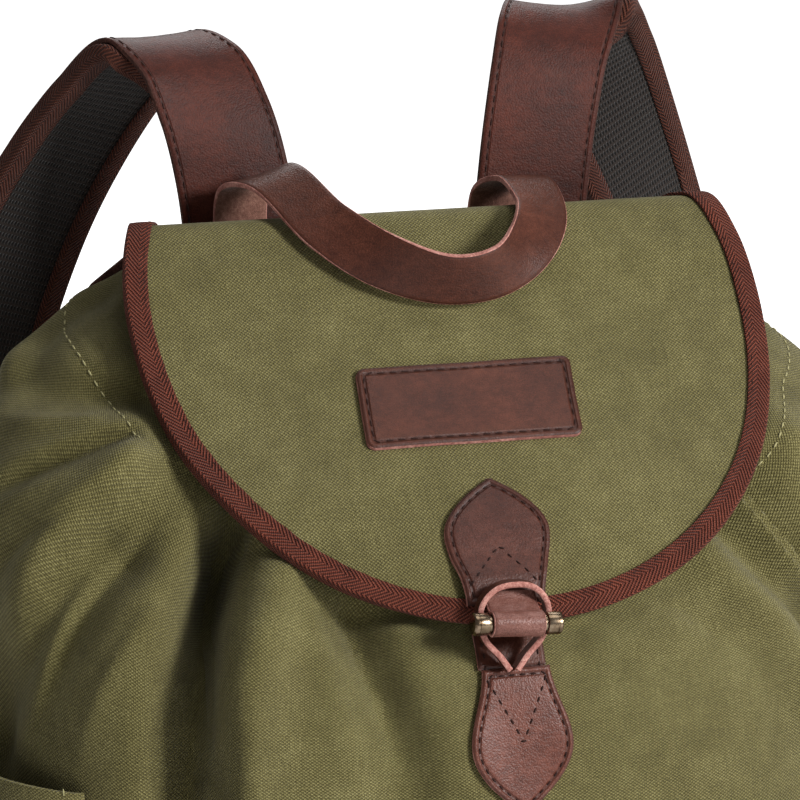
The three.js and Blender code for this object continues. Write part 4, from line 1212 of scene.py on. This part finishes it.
tape_share = flap_shares(500, 89.5)
tape_share = tape_share[tape_share >= FLAP_SEAM_SHARE]
left_edge = np.stack([FLAP_SHIFT - flap_half(tape_share), tape_share * FLAP_RUN], axis=-1)
right_edge = np.stack([FLAP_SHIFT + flap_half(tape_share), tape_share * FLAP_RUN], axis=-1)[::-1]
flap_outline = spread_line(np.concatenate([left_edge, right_edge]), 1.3)
index = np.arange(len(flap_outline))
outline_run = unit(flap_outline[np.minimum(index + 3, len(index) - 1)]
                   - flap_outline[np.maximum(index - 3, 0)])
flap_inward = np.stack([outline_run[:, 1], -outline_run[:, 0]], axis=-1)


def flap_place(x, down, lift):
    """Place on the flap at x and a distance from its seam."""
    return flap_at(x, down / FLAP_RUN, lift)


def flap_binding():
    """Twill tape folded over the flap's edge, soft at the fold."""
    seat = TAPE_SEAT - 0.5
    over = seat + TAPE_WALL
    bottom = -FLAP_CANVAS
    middle = FLAP_CANVAS / 2
    turns = [math.radians(a) for a in range(0, 181, 20)]
    bend = [(over * (1 - math.sin(a)) * 0.45, (over + middle) * math.cos(a) - middle) for a in turns]
    face = [(TAPE_FACE + 0.25, seat * 0.35 + 0.15), (TAPE_FACE + 0.1, over * 0.85), (TAPE_FACE - 0.6, over)]
    face += [(TAPE_FACE * k / 6, over + 0.12 * math.sin(math.pi * k / 6)) for k in (5, 4, 3, 2, 1)]
    back = [(a, bottom - b) for a, b in reversed(face)]
    outside = face + bend + back
    inside = [(TAPE_FACE - 0.3, bottom - seat * 0.3), (1.2, bottom - seat * 0.3), (1.2, seat * 0.3),
              (TAPE_FACE - 0.3, seat * 0.3)]
    outline = np.array(outside + inside)
    spread, far = run_along(outline), run_along(flap_outline)
    ripple = 0.16 * np.sin(far / 2.1) + 0.14 * wander(far, far * 0, far * 0, 23, 4)
    rings = []
    for k, (point, inward) in enumerate(zip(flap_outline, flap_inward)):
        a = outline[:, 0]
        b = outline[:, 1] + ripple[k] * np.sign(outline[:, 1] + middle) * smooth(a / TAPE_FACE)
        rings.append(flap_place(point[0] + inward[0] * a, point[1] + inward[1] * a, b))
    cloth = np.stack(np.broadcast_arrays(spread[None, :], far[:, None]), axis=-1)
    return swept_piece("flap_binding", np.array(rings), [flap_tape_cloth], [0] * len(outline), cloth, 60)


finish_piece(flap_binding(), "tape", "flap_tape")
binding_line = flap_outline + flap_inward * (TAPE_FACE - 1.6)
binding_rows = [lay(binding_line, flap_place, TAPE_SEAT + TAPE_WALL - 0.5)]
stitch_rows("binding_stitches", binding_rows, brown_thread, "tape", pitch=4.2, length=2.6, radius=0.22)

label_top = LABEL_SHARE * FLAP_RUN - LABEL_HEIGHT / 2


def label_place(x, down, lift):
    """Place on the flap under the label, which leans a little."""
    return flap_place(x + LABEL_LEAN * (0.8 - down / LABEL_HEIGHT), label_top + down, lift)


def label_half(share):
    """Half the label's width, less at its round corners."""
    from_end = np.minimum(share, 1 - share) * LABEL_HEIGHT
    inside = np.maximum(0, LABEL_CORNER - from_end)
    return LABEL_WIDTH / 2 - LABEL_CORNER + np.sqrt(np.maximum(0, LABEL_CORNER ** 2 - inside ** 2))


label, label_outline = patch_piece("label_patch_leather", LABEL_HEIGHT, label_half, label_place, GAP, LEATHER,
                                   [stitched_leather, raw_edge, suede], 64, 130)
finish_piece(label, "leather", "label_patch")
label_seam = inset_line(label_outline[::-1], -STITCH_INSET, True)
label_rows = [lay(np.concatenate([label_seam, label_seam[:1]]), label_place, GAP + LEATHER - THREAD_SINK)]
stitch_rows("label_stitches", label_rows, brown_thread, "leather", pitch=5.6, length=3.9, radius=0.45)


def leaf_half(share, width, neck, widest, least=1.5):
    """Half the width of a leaf-shaped tab, from its tip through its widest place to its neck."""
    rising = width / 2 * np.sin(np.clip(share / widest, 0.0001, 1) * np.pi / 2) ** 0.85
    falling = width / 2 + (neck / 2 - width / 2) * smooth((share - widest) / (1 - widest))
    return np.maximum(least, np.where(share < widest, rising, falling))


def inside_line(outline, inset):
    """The line at an inset within a closed outline, whichever way the outline runs."""
    for way in (1, -1):
        moved = inset_line(outline, inset * way, True)
        if len(moved) and np.abs(moved[:, 0]).max() < np.abs(outline[:, 0]).max():
            return moved
    return outline


def flap_tab_place(x, down, lift):
    """Place on the flap under its tab, which steps up over the tape."""
    rise = (TAPE_WALL + TAPE_SEAT) * smooth((down / TAB_LENGTH - 0.62) / 0.2)
    return flap_place(x + TOGGLE_SHIFT * down / TAB_LENGTH, TAB_START * FLAP_RUN + down, lift + rise)


TAB_STITCH = {"pitch": 4.8, "length": 2.8, "radius": 0.5}
flap_tab, flap_tab_outline = patch_piece(
    "flap_tab_leather", TAB_LENGTH, lambda share: leaf_half(share, TAB_WIDTH, TAB_NECK, TAB_WIDEST),
    flap_tab_place, GAP, LEATHER, [upper_tab_leather, raw_edge, suede], 80, 60)
finish_piece(flap_tab, "leather", "flap_tab")
seam = inside_line(flap_tab_outline, TAB_SEAM_INSET)
seam = seam[seam[:, 1] < TAB_LENGTH - 4]
order = np.argsort(np.arctan2(seam[:, 0], -(seam[:, 1] - TAB_LENGTH * 0.55)))
seam = seam[order]
chevron = np.array([(-15.0, 49.0), (-0.5, 32.5), (13.5, 49.0)])
flap_tab_rows = [lay(seam, flap_tab_place, GAP + LEATHER - THREAD_SINK),
                 lay(spread_line(chevron), flap_tab_place, GAP + LEATHER + STITCH_LIFT)]
stitch_rows("flap_tab_stitches", flap_tab_rows, brown_thread, "leather", **TAB_STITCH)

tab_end_share = TAB_START + TAB_LENGTH / FLAP_RUN
tab_end = flap_at(0.0, tab_end_share, TAPE_SEAT + TAPE_WALL + GAP + LEATHER)
bar_height = tab_end[2] - BAR_DROP
lower_tab_top = bar_height - BAR_RADIUS - TAB_BELOW_BAR
seat_y = float(sack_at(0.0, lower_tab_top + LOOP_SEAT_UP, GAP + LEATHER)[1])
loop_near_y = min(seat_y, float(tab_end[1])) - LOOP_SEAT
bar_centre = np.array([TOGGLE_SHIFT, loop_near_y - LOOP_STRIP - BAR_CLEARANCE - BAR_RADIUS, bar_height])


def body_tab_place(x, down, lift):
    """Place on the sack under the lower tab, from its tip upwards."""
    return sack_at(x, lower_tab_top - (LOWER_TAB_LENGTH - down), lift, True)


body_tab, body_tab_outline = patch_piece(
    "body_tab_leather", LOWER_TAB_LENGTH,
    lambda share: leaf_half(share, LOWER_TAB_WIDTH, NECK_WIDTH, LOWER_TAB_WIDEST),
    body_tab_place, SOFT_GAP, LEATHER, [tab_leather, raw_edge, suede], 70, 54)
finish_piece(body_tab, "leather", "body_tab")
seam = inside_line(body_tab_outline, TAB_SEAM_INSET)
order = np.argsort(np.arctan2(seam[:, 0], seam[:, 1] - LOWER_TAB_LENGTH * 0.55))
seam = seam[order]
chevron = np.array([(-13.5, LOWER_TAB_LENGTH - 5.0), (0.5, 30.5), (12.5, LOWER_TAB_LENGTH - 5.0)])
body_tab_rows = [lay(np.concatenate([seam, seam[:1]]), body_tab_place, SOFT_GAP + LEATHER - THREAD_SINK),
                 lay(spread_line(chevron), body_tab_place, SOFT_GAP + LEATHER + STITCH_LIFT)]
stitch_rows("body_tab_stitches", body_tab_rows, brown_thread, "leather", **TAB_STITCH)


def neck_place(x, down, lift):
    """Place on the sack behind the loop, from the lower tab upwards."""
    return sack_at(x + LOOP_SHIFT / 2, lower_tab_top + GAP + down, lift, True)


neck, _ = patch_piece("closure_neck_leather", NECK_HEIGHT, lambda share: NECK_WIDTH / 2 + 0 * share,
                      neck_place, SOFT_GAP, NECK_THICKNESS, [leather, raw_edge, suede], 24, 36)
finish_piece(neck, "leather", "closure_neck")
neck_down = np.linspace(0.5, NECK_HEIGHT - 1, 30)
neck_rows = [lay(np.stack([np.full(30, x), neck_down], axis=-1), neck_place, SOFT_GAP + NECK_THICKNESS - 0.1)
             for x in (-12.4, 12.4)]
stitch_rows("closure_neck_stitches", neck_rows, brown_thread, "leather", pitch=4.4, length=2.6, radius=0.45)


def tilt(points):
    """Places round the bar, turned by the angle that it hangs at and moved to it."""
    c, s = math.cos(BAR_TILT), math.sin(BAR_TILT)
    points = np.asarray(points, float)
    turned = points.copy()
    turned[..., 0] = points[..., 0] * c + points[..., 2] * s
    turned[..., 2] = -points[..., 0] * s + points[..., 2] * c
    return turned + bar_centre


def bar_piece():
    """Turned bar with a cap on each end, each with a groove and a rounded rim, and a narrower waist."""
    half = BAR_LENGTH / 2
    rim = [(0, 3.2), (0.25, 4.3), (0.8, 4.85), (1.5, 5.0), (2.2, 5.0), (2.35, 4.75), (2.7, 4.75), (2.85, 5.0),
           (6.4, 5.0), (6.9, 4.85), (BAR_CAP, 4.4), (BAR_CAP + 0.1, BAR_WAIST)]
    side = [(half - inset, r) for inset, r in rim]
    stations = [(-x, r) for x, r in side] + [(x, r) for x, r in reversed(side)]
    sides = 48
    angle = np.linspace(0, 2 * np.pi, sides + 1)[:-1]
    rings = np.array([vectors(x, r * np.cos(angle), r * np.sin(angle)) for x, r in stations])
    places = np.array([x for x, _ in stations])
    cloth = np.stack(np.broadcast_arrays(angle[None, :] * BAR_RADIUS, places[:, None]), axis=-1)
    return swept_piece("toggle_bar_bronze", tilt(rings), [bronze], [0] * sides, cloth, crease=28)


finish_piece(bar_piece(), "bronze", "toggle_bar")


def strap_profile(width, thickness, columns, raised=0.0):
    """Section of a leather strip: places, finish of each side and distance to the nearest edge."""
    half, thick, corner = width / 2, thickness / 2, 0.35
    across = np.linspace(-half + corner, half - corner, columns + 1)
    top = [(a, thick + raised * (1 - (a / half) ** 2)) for a in across]
    right = [(half, thick - corner), (half, -thick + corner)]
    bottom = [(a, -thick) for a in across[::-1]]
    left = [(-half, -thick + corner), (-half, thick - corner)]
    points = np.array(top + right + bottom + left)
    slots = [0] * columns + [1, 1, 1] + [2] * columns + [1, 1, 1]
    edge = half - np.abs(points[:, 0])
    return points, slots, edge


def frames(path, t, turn, tip):
    """Places on a path with the directions across a strip and out of its face."""
    turn, tip = np.radians(turn), np.radians(tip)
    across = vectors(np.cos(turn) * np.cos(tip), np.sin(turn) * np.cos(tip), np.sin(tip))
    tangent = path.tangent(t)
    across = unit(across - tangent * np.sum(across * tangent, axis=-1, keepdims=True))
    return path.at(t), across, unit(np.cross(across, tangent))


def strip_piece(name, path, t, turn, tip, profile, finishes, narrow=None, crease=45):
    """Strip of leather along a path; the distance to its edges goes with it for the finish."""
    points, slots, edge = profile
    centre, across, out = frames(path, t, turn, tip)
    a = np.broadcast_to(points[:, 0], (len(t), len(points)))
    if narrow is not None:
        a = a - np.sign(a) * narrow[:, None]
    rings = centre[:, None] + across[:, None] * a[..., None] + out[:, None] * points[:, 1][None, :, None]
    far = np.interp(t, path.t, path.far)
    cloth = np.stack(np.broadcast_arrays(points[:, 0][None, :], far[:, None]), axis=-1)
    edge = np.broadcast_to(edge * MM, (len(t), len(points)))
    return swept_piece(name, rings, finishes, slots, cloth, crease, {"edge": edge})


def strip_stitches(path, t, turn, tip, offsets, above):
    """Lines of stitches at offsets across a strip, on its outer face."""
    centre, across, out = frames(path, t, turn, tip)
    return [(centre + across * offset + out * above, out) for offset in offsets]


def tongue_piece():
    """Leather that leaves the flap's tab, passes through the loop and wraps the bar."""
    inside = BAR_WAIST + GAP + WRAP_LEATHER / 2
    course = [(tab_end[1] - bar_centre[1] - 0.6, tab_end[2] - bar_centre[2] + 5.5), (8.5, 7.2)]
    turns = [math.radians(a) for a in range(62, 352, 18)]
    course += [(inside * math.cos(a), inside * math.sin(a)) for a in turns]
    path = Course([(0, y, z) for y, z in course])
    t = path.even(0.9)
    points, slots, edge = strap_profile(BAR_LENGTH - 2 * (BAR_CAP + TONGUE_CLEARANCE), WRAP_LEATHER, 14)
    tangent = path.tangent(t)
    out = vectors(0, tangent[:, 2], -tangent[:, 1])
    rings = (path.at(t)[:, None] + np.array([1.0, 0, 0]) * points[:, 0][None, :, None]
             + out[:, None] * points[:, 1][None, :, None])
    cloth = np.stack(np.broadcast_arrays(points[:, 0][None, :], (t * path.length)[:, None]), axis=-1)
    edge = np.broadcast_to(edge * MM, (len(t), len(points)))
    return swept_piece("toggle_wrap", tilt(rings), [wrap_leather, raw_edge, suede], slots, cloth, 45,
                       {"edge": edge})


finish_piece(tongue_piece(), "leather", "toggle_tongue")


def loop_piece():
    """Narrow strip of leather on edge, bent into a drop-shaped ring; its cut edge faces forwards."""
    top = bar_centre[2] + BAR_RADIUS + LEATHER + LOOP_RISE - (LOOP_THICKNESS - LOOP_EDGE) / 2 - LOOP_SLACK
    low = lower_tab_top + LOOP_FOOT
    half = LOOP_WIDTH / 2
    right = [(0.11, 0), (0.38, 0.16), (0.80, 0.36), (0.98, 0.56), (0.90, 0.80), (0.52, 0.96)]
    whole = right + [(0, 1)] + [(-x, u) for x, u in reversed(right)]
    path = Course([(LOOP_SHIFT + half * x, loop_near_y, low + (top - low) * u) for x, u in whole])
    t = path.even(0.9)
    centre, tangent = path.at(t), path.tangent(t)
    inward = unit(vectors(-tangent[:, 2], 0, tangent[:, 0]))
    w, d, c = LOOP_EDGE / 2, LOOP_STRIP, 0.4
    outline = np.array([(-w + c, d), (0, d + 0.15), (w - c, d), (w, d - c), (w, c), (w - c, 0), (-w + c, 0),
                        (-w, c), (-w, d - c)])
    slots = [1, 1, 1, 2, 1, 1, 1, 0, 1]
    rings = (centre[:, None] + inward[:, None] * outline[:, 0][None, :, None]
             - np.array([0, 1.0, 0]) * outline[:, 1][None, :, None])
    cloth = np.stack(np.broadcast_arrays(run_along(outline)[None, :], (t * path.length)[:, None]), axis=-1)
    edge = np.full(rings.shape[:2], 1.0 * MM)
    return swept_piece("closure_loop_leather", rings, [leather, raw_edge, suede], slots, cloth, 40,
                       {"edge": edge})


finish_piece(loop_piece(), "leather", "closure_loop")

handle_path = Course(vectors(HANDLE_COURSE["out"] * HALF_WIDTH,
                             HANDLE_SEAT_Y + HANDLE_THICKNESS / 2 - HANDLE_COURSE["forward"] * BODY_HEIGHT,
                             HANDLE_COURSE["up"] * BODY_HEIGHT))
handle_t = handle_path.even(2.0)
handle_turn, handle_tip = along(HANDLE_COURSE, "turn", handle_t), along(HANDLE_COURSE, "tip", handle_t)
finish_piece(strip_piece("carry_handle_leather", handle_path, handle_t, handle_turn, handle_tip,
                         strap_profile(HANDLE_WIDTH, HANDLE_THICKNESS, 14), [suede, raw_edge, leather]),
             "leather", "carry_handle")

STRAP_FINISHES = [strap_leather, dark_edge, suede]
TAPE_TOP = -STRAP_THICKNESS / 2 - 0.5
PAD_TOP = TAPE_TOP - TAPE_WALL - 0.3
PAD_LOW = PAD_TOP - PAD_THICKNESS - 1.0
PAD_HALF = PAD_WIDTH / 2 - TAPE_WALL - 0.6


def strap_path(side):
    """Middle line of a shoulder strap; the left one's crest is a little lower."""
    crest = smooth((STRAP_COURSE["up"] - 1.0) / 0.2)
    height = STRAP_COURSE["up"] - (LEFT_CREST_DROP * crest if side < 0 else 0)
    return Course(vectors(side * STRAP_COURSE["out"] * HALF_WIDTH,
                          STRAP_SEAT_Y + STRAP_THICKNESS / 2 + STRAP_COURSE["behind"] * STRAP_STANDOFF,
                          height * BODY_HEIGHT))


def strap_facing(hand, path):
    """Leather of a shoulder strap, stitched along both edges."""
    t = path.even(2.2)
    turn = along(STRAP_COURSE, hand, t)
    profile = strap_profile(STRAP_WIDTH, STRAP_THICKNESS, 26, 0.3)
    facing = strip_piece(f"strap_{hand}_facing", path, t, turn, 0 * t, profile, STRAP_FINISHES)
    finish_piece(facing, "leather", f"strap_leather_{hand}")
    inset = STRAP_WIDTH / 2 - STITCH_INSET
    rows = strip_stitches(path, t, turn, 0 * t, (-inset, inset), STRAP_THICKNESS / 2 + STITCH_LIFT)
    stitch_rows(f"strap_{hand}_stitches", rows, brown_thread, "leather", pitch=5.3, length=3.8, radius=0.45)
    return t[t >= PAD_START]


def strap_padding(hand, path, tail, turn, narrow):
    """Thin pad under a shoulder strap, fuller in its middle."""
    across = np.linspace(-PAD_HALF + 1.5, PAD_HALF - 1.5, 25)
    puff = 1 - np.abs(across / PAD_HALF) ** 6
    rim = [(PAD_HALF - 0.3, PAD_TOP - 1), (PAD_HALF, PAD_TOP - 3), (PAD_HALF - 0.3, PAD_LOW + 1.2)]
    section = [(a, PAD_TOP) for a in across] + rim
    section += [(a, PAD_LOW - 0.5 * p) for a, p in zip(across[::-1], puff)]
    section += [(-a, b) for a, b in reversed(rim)]
    section = np.array(section)
    profile = (section, [0] * len(section), PAD_HALF - np.abs(section[:, 0]))
    pad = strip_piece(f"strap_{hand}_padding", path, tail, turn, 0 * tail, profile, [spacer_mesh], narrow, 60)
    finish_piece(pad, "mesh", f"strap_pad_{hand}")


def strap_binding(hand, edge_name, sign, path, tail, turn, narrow):
    """Tape folded round one edge of a shoulder strap's pad."""
    edge = PAD_WIDTH / 2
    on_leather = [(edge - TAPE_FACE, TAPE_TOP - TAPE_WALL), (edge - TAPE_FACE, TAPE_TOP),
                  (edge - 4.5, TAPE_TOP + 0.05), (edge - 1.2, TAPE_TOP), (edge - 0.3, TAPE_TOP - 0.7)]
    fold = [(edge, TAPE_TOP - 2.2), (edge, PAD_LOW + 0.6), (edge - 0.3, PAD_LOW - 1.0),
            (edge - 1.2, PAD_LOW - 1.7)]
    on_mesh = [(edge - STRAP_TAPE_FACE / 2, PAD_LOW - 2.0), (edge - STRAP_TAPE_FACE + 0.4, PAD_LOW - 1.7),
               (edge - STRAP_TAPE_FACE, PAD_LOW - 0.9)]
    inside = [(edge - 2.0, PAD_LOW - 0.6), (edge - TAPE_WALL, PAD_LOW + 0.8),
              (edge - TAPE_WALL, TAPE_TOP - 2.0), (edge - 2.0, TAPE_TOP - TAPE_WALL)]
    binding = np.array([(a * sign, b) for a, b in on_leather + fold + on_mesh + inside])
    centre, across, out = frames(path, tail, turn, 0 * tail)
    a = binding[:, 0][None, :] - np.sign(binding[:, 0])[None, :] * narrow[:, None]
    rings = centre[:, None] + across[:, None] * a[..., None] + out[:, None] * binding[:, 1][None, :, None]
    far = np.interp(tail, path.t, path.far)
    cloth = np.stack(np.broadcast_arrays(run_along(binding)[None, :], far[:, None]), axis=-1)
    tape = swept_piece(f"strap_{hand}_{edge_name}_binding", rings, [shaded_strap_tape_cloth], [0] * len(binding),
                       cloth, 60)
    finish_piece(tape, "tape", f"strap_tape_{edge_name}_{hand}")


def lower_strap(hand, side, path):
    """Narrow strap from the end of the pad to the back near the base, stitched along both edges."""
    seat_t = np.array([0.95, 1.0])
    centre, _, out = frames(path, seat_t, along(STRAP_COURSE, hand, seat_t), 0 * seat_t)
    seats = centre + out * (STRAP_THICKNESS / 2 + PAD_SEAT + LOWER_STRAP_THICKNESS / 2)
    foot = np.array([side * HALF_WIDTH * 0.62, BACK_Y + BACK_PANEL + GAP + LOWER_STRAP_THICKNESS / 2,
                     BODY_HEIGHT * 0.05])
    course = Course([seats[0], seats[1], 2 * seats[1] - seats[0], foot + (side * 6, 12, BODY_HEIGHT * 0.16),
                     foot + (0, 1, BODY_HEIGHT * 0.055), foot])
    t = course.even(2.5)
    last_turn = STRAP_COURSE[hand][-1]
    turns = {"turn": last_turn * np.array([1, 1, 1, 0.5, 0, 0])}
    turn = along(turns, "turn", t)
    profile = strap_profile(LOWER_STRAP_WIDTH, LOWER_STRAP_THICKNESS, 14, 0.2)
    strip = strip_piece(f"lower_strap_{hand}_leather", course, t, turn, 0 * t, profile, STRAP_FINISHES)
    finish_piece(strip, "leather", f"lower_strap_{hand}")
    inset = LOWER_STRAP_WIDTH / 2 - STITCH_INSET
    rows = strip_stitches(course, t, turn, 0 * t, (-inset, inset), LOWER_STRAP_THICKNESS / 2 + STITCH_LIFT)
    stitch_rows(f"lower_strap_{hand}_stitches", rows, brown_thread, "leather")


def side_pocket(hand, side):
    """Full pocket on the side of the sack, with a hem along its top edge."""
    rows, columns = 80, 110
    share = np.linspace(0, 1, columns + 1)[None, :]
    climb = np.linspace(0, 1, rows + 1)[:, None]
    pocket_around = side * (POCKET_FROM + (POCKET_TO - POCKET_FROM) * share) + 0 * climb
    pocket_up = POCKET_FOOT + (POCKET_TOP - POCKET_FOOT) * climb + 0 * share
    belly = np.sin(np.pi * share) ** 0.6 * smooth(climb / 0.35)
    hem = 0.5 * smooth((climb - POCKET_HEM) / 0.012)
    lift = POCKET_SEAT + POCKET_BULGE * belly
    outer = sack(pocket_around, pocket_up, lift + POCKET_WALL + hem, True)
    inner = sack(pocket_around, pocket_up, lift, True)
    pocket = sheet_piece(f"side_pocket_{hand}_canvas", outer, inner, [canvas])
    finish_piece(pocket, "canvas", f"side_pocket_{hand}")
    outward = unit(outer - inner)
    sewn = outer + outward * 0.1
    hem_row = int(POCKET_HEM * rows) - 1
    lines = [(sewn[hem_row], outward[hem_row])]
    lines += [(sewn[:, column], outward[:, column]) for column in (4, columns - 4)]
    stitch_rows(f"side_pocket_{hand}_stitches", lines, khaki_thread, "canvas")


for hand, side in (("left", -1), ("right", 1)):
    path = strap_path(side)
    tail = strap_facing(hand, path)
    turn = along(STRAP_COURSE, hand, tail)
    narrow = PAD_TAPER * (1 - smooth((tail - PAD_START) / 0.1))
    strap_padding(hand, path, tail, turn, narrow)
    strap_binding(hand, "outer", side, path, tail, turn, narrow)
    strap_binding(hand, "inner", -side, path, tail, turn, narrow)
    lower_strap(hand, side, path)
    side_pocket(hand, side)


def floor_finish():
    """Pale floor that glows more away from the bag: painted light from its own emission, standing in for a
    studio's background lamps.
    """
    finish = Finish("studio_floor", roughness=0.9, specular=0.1)
    finish.set("Base Color", (0.9, 0.9, 0.9, 1))
    x, y, _ = finish.split(finish.place())
    off_x, off_y = x + 0.5, y + 1.5
    away = ((off_x * off_x + off_y * off_y) ** 0.5).step(2.1, 2.7)
    # Painted light: the floor's emission grows away from the bag, and it lights the bag like a lamp.
    finish.set("Emission Color", finish.mixed(away, (0.0, 0.0, 0.0), (1.0, 1.0, 1.0)))
    finish.set("Emission Strength", 0.9)
    return finish.material


def studio():
    """Pale floor, soft lamps and the camera at the photograph's angle."""
    floor_mesh = bpy.data.meshes.new("studio_floor")
    far, under = 30.0, -0.0005
    corners = [(-far, -far, under), (far, -far, under), (far, far, under), (-far, far, under)]
    floor_mesh.from_pydata(corners, [], [(0, 1, 2, 3)])
    floor_mesh.materials.append(floor_finish())
    floor = bpy.data.objects.new("studio_floor", floor_mesh)
    bpy.context.collection.objects.link(floor)
    world = bpy.data.worlds.new("studio_air")
    world.use_nodes = True
    world.node_tree.nodes["Background"].inputs[0].default_value = (1.0, 1.0, 1.0, 1)
    world.node_tree.nodes["Background"].inputs[1].default_value = 0.20
    bpy.context.scene.world = world
    target = Vector((0.0, 0.0, 0.25))
    lamps = (
        ("key", (1.55, -1.95, 1.35), 0.7, 98),
        ("top", (0.4, -0.3, 2.2), 1.0, 12),
        ("rim", (0.5, 1.7, 1.9), 1.2, 30),
    )
    for name, place, size, power in lamps:
        light = bpy.data.lights.new(name, "AREA")
        light.size = size
        light.energy = power
        lamp = bpy.data.objects.new(name, light)
        lamp.location = place
        lamp.rotation_euler = (target - Vector(place)).to_track_quat("-Z", "Y").to_euler()
        bpy.context.collection.objects.link(lamp)
    lens = bpy.data.cameras.new("photo_view")
    lens.lens = 247.5
    lens.sensor_width = 36
    lens.clip_end = 60
    camera = bpy.data.objects.new("photo_view", lens)
    right = Vector((0.95106, -0.30902, 0.0))
    upward = Vector((0.06425, 0.19774, 0.97815))
    back = Vector((-0.30227, -0.93028, 0.20791))
    eye = Vector((-0.76293, -2.24653, 0.86346))
    camera.matrix_world = Matrix(((right.x, upward.x, back.x, eye.x), (right.y, upward.y, back.y, eye.y),
                                  (right.z, upward.z, back.z, eye.z), (0, 0, 0, 1)))
    bpy.context.collection.objects.link(camera)
    bpy.context.scene.camera = camera
    bpy.context.scene.view_settings.view_transform = "Standard"


studio()
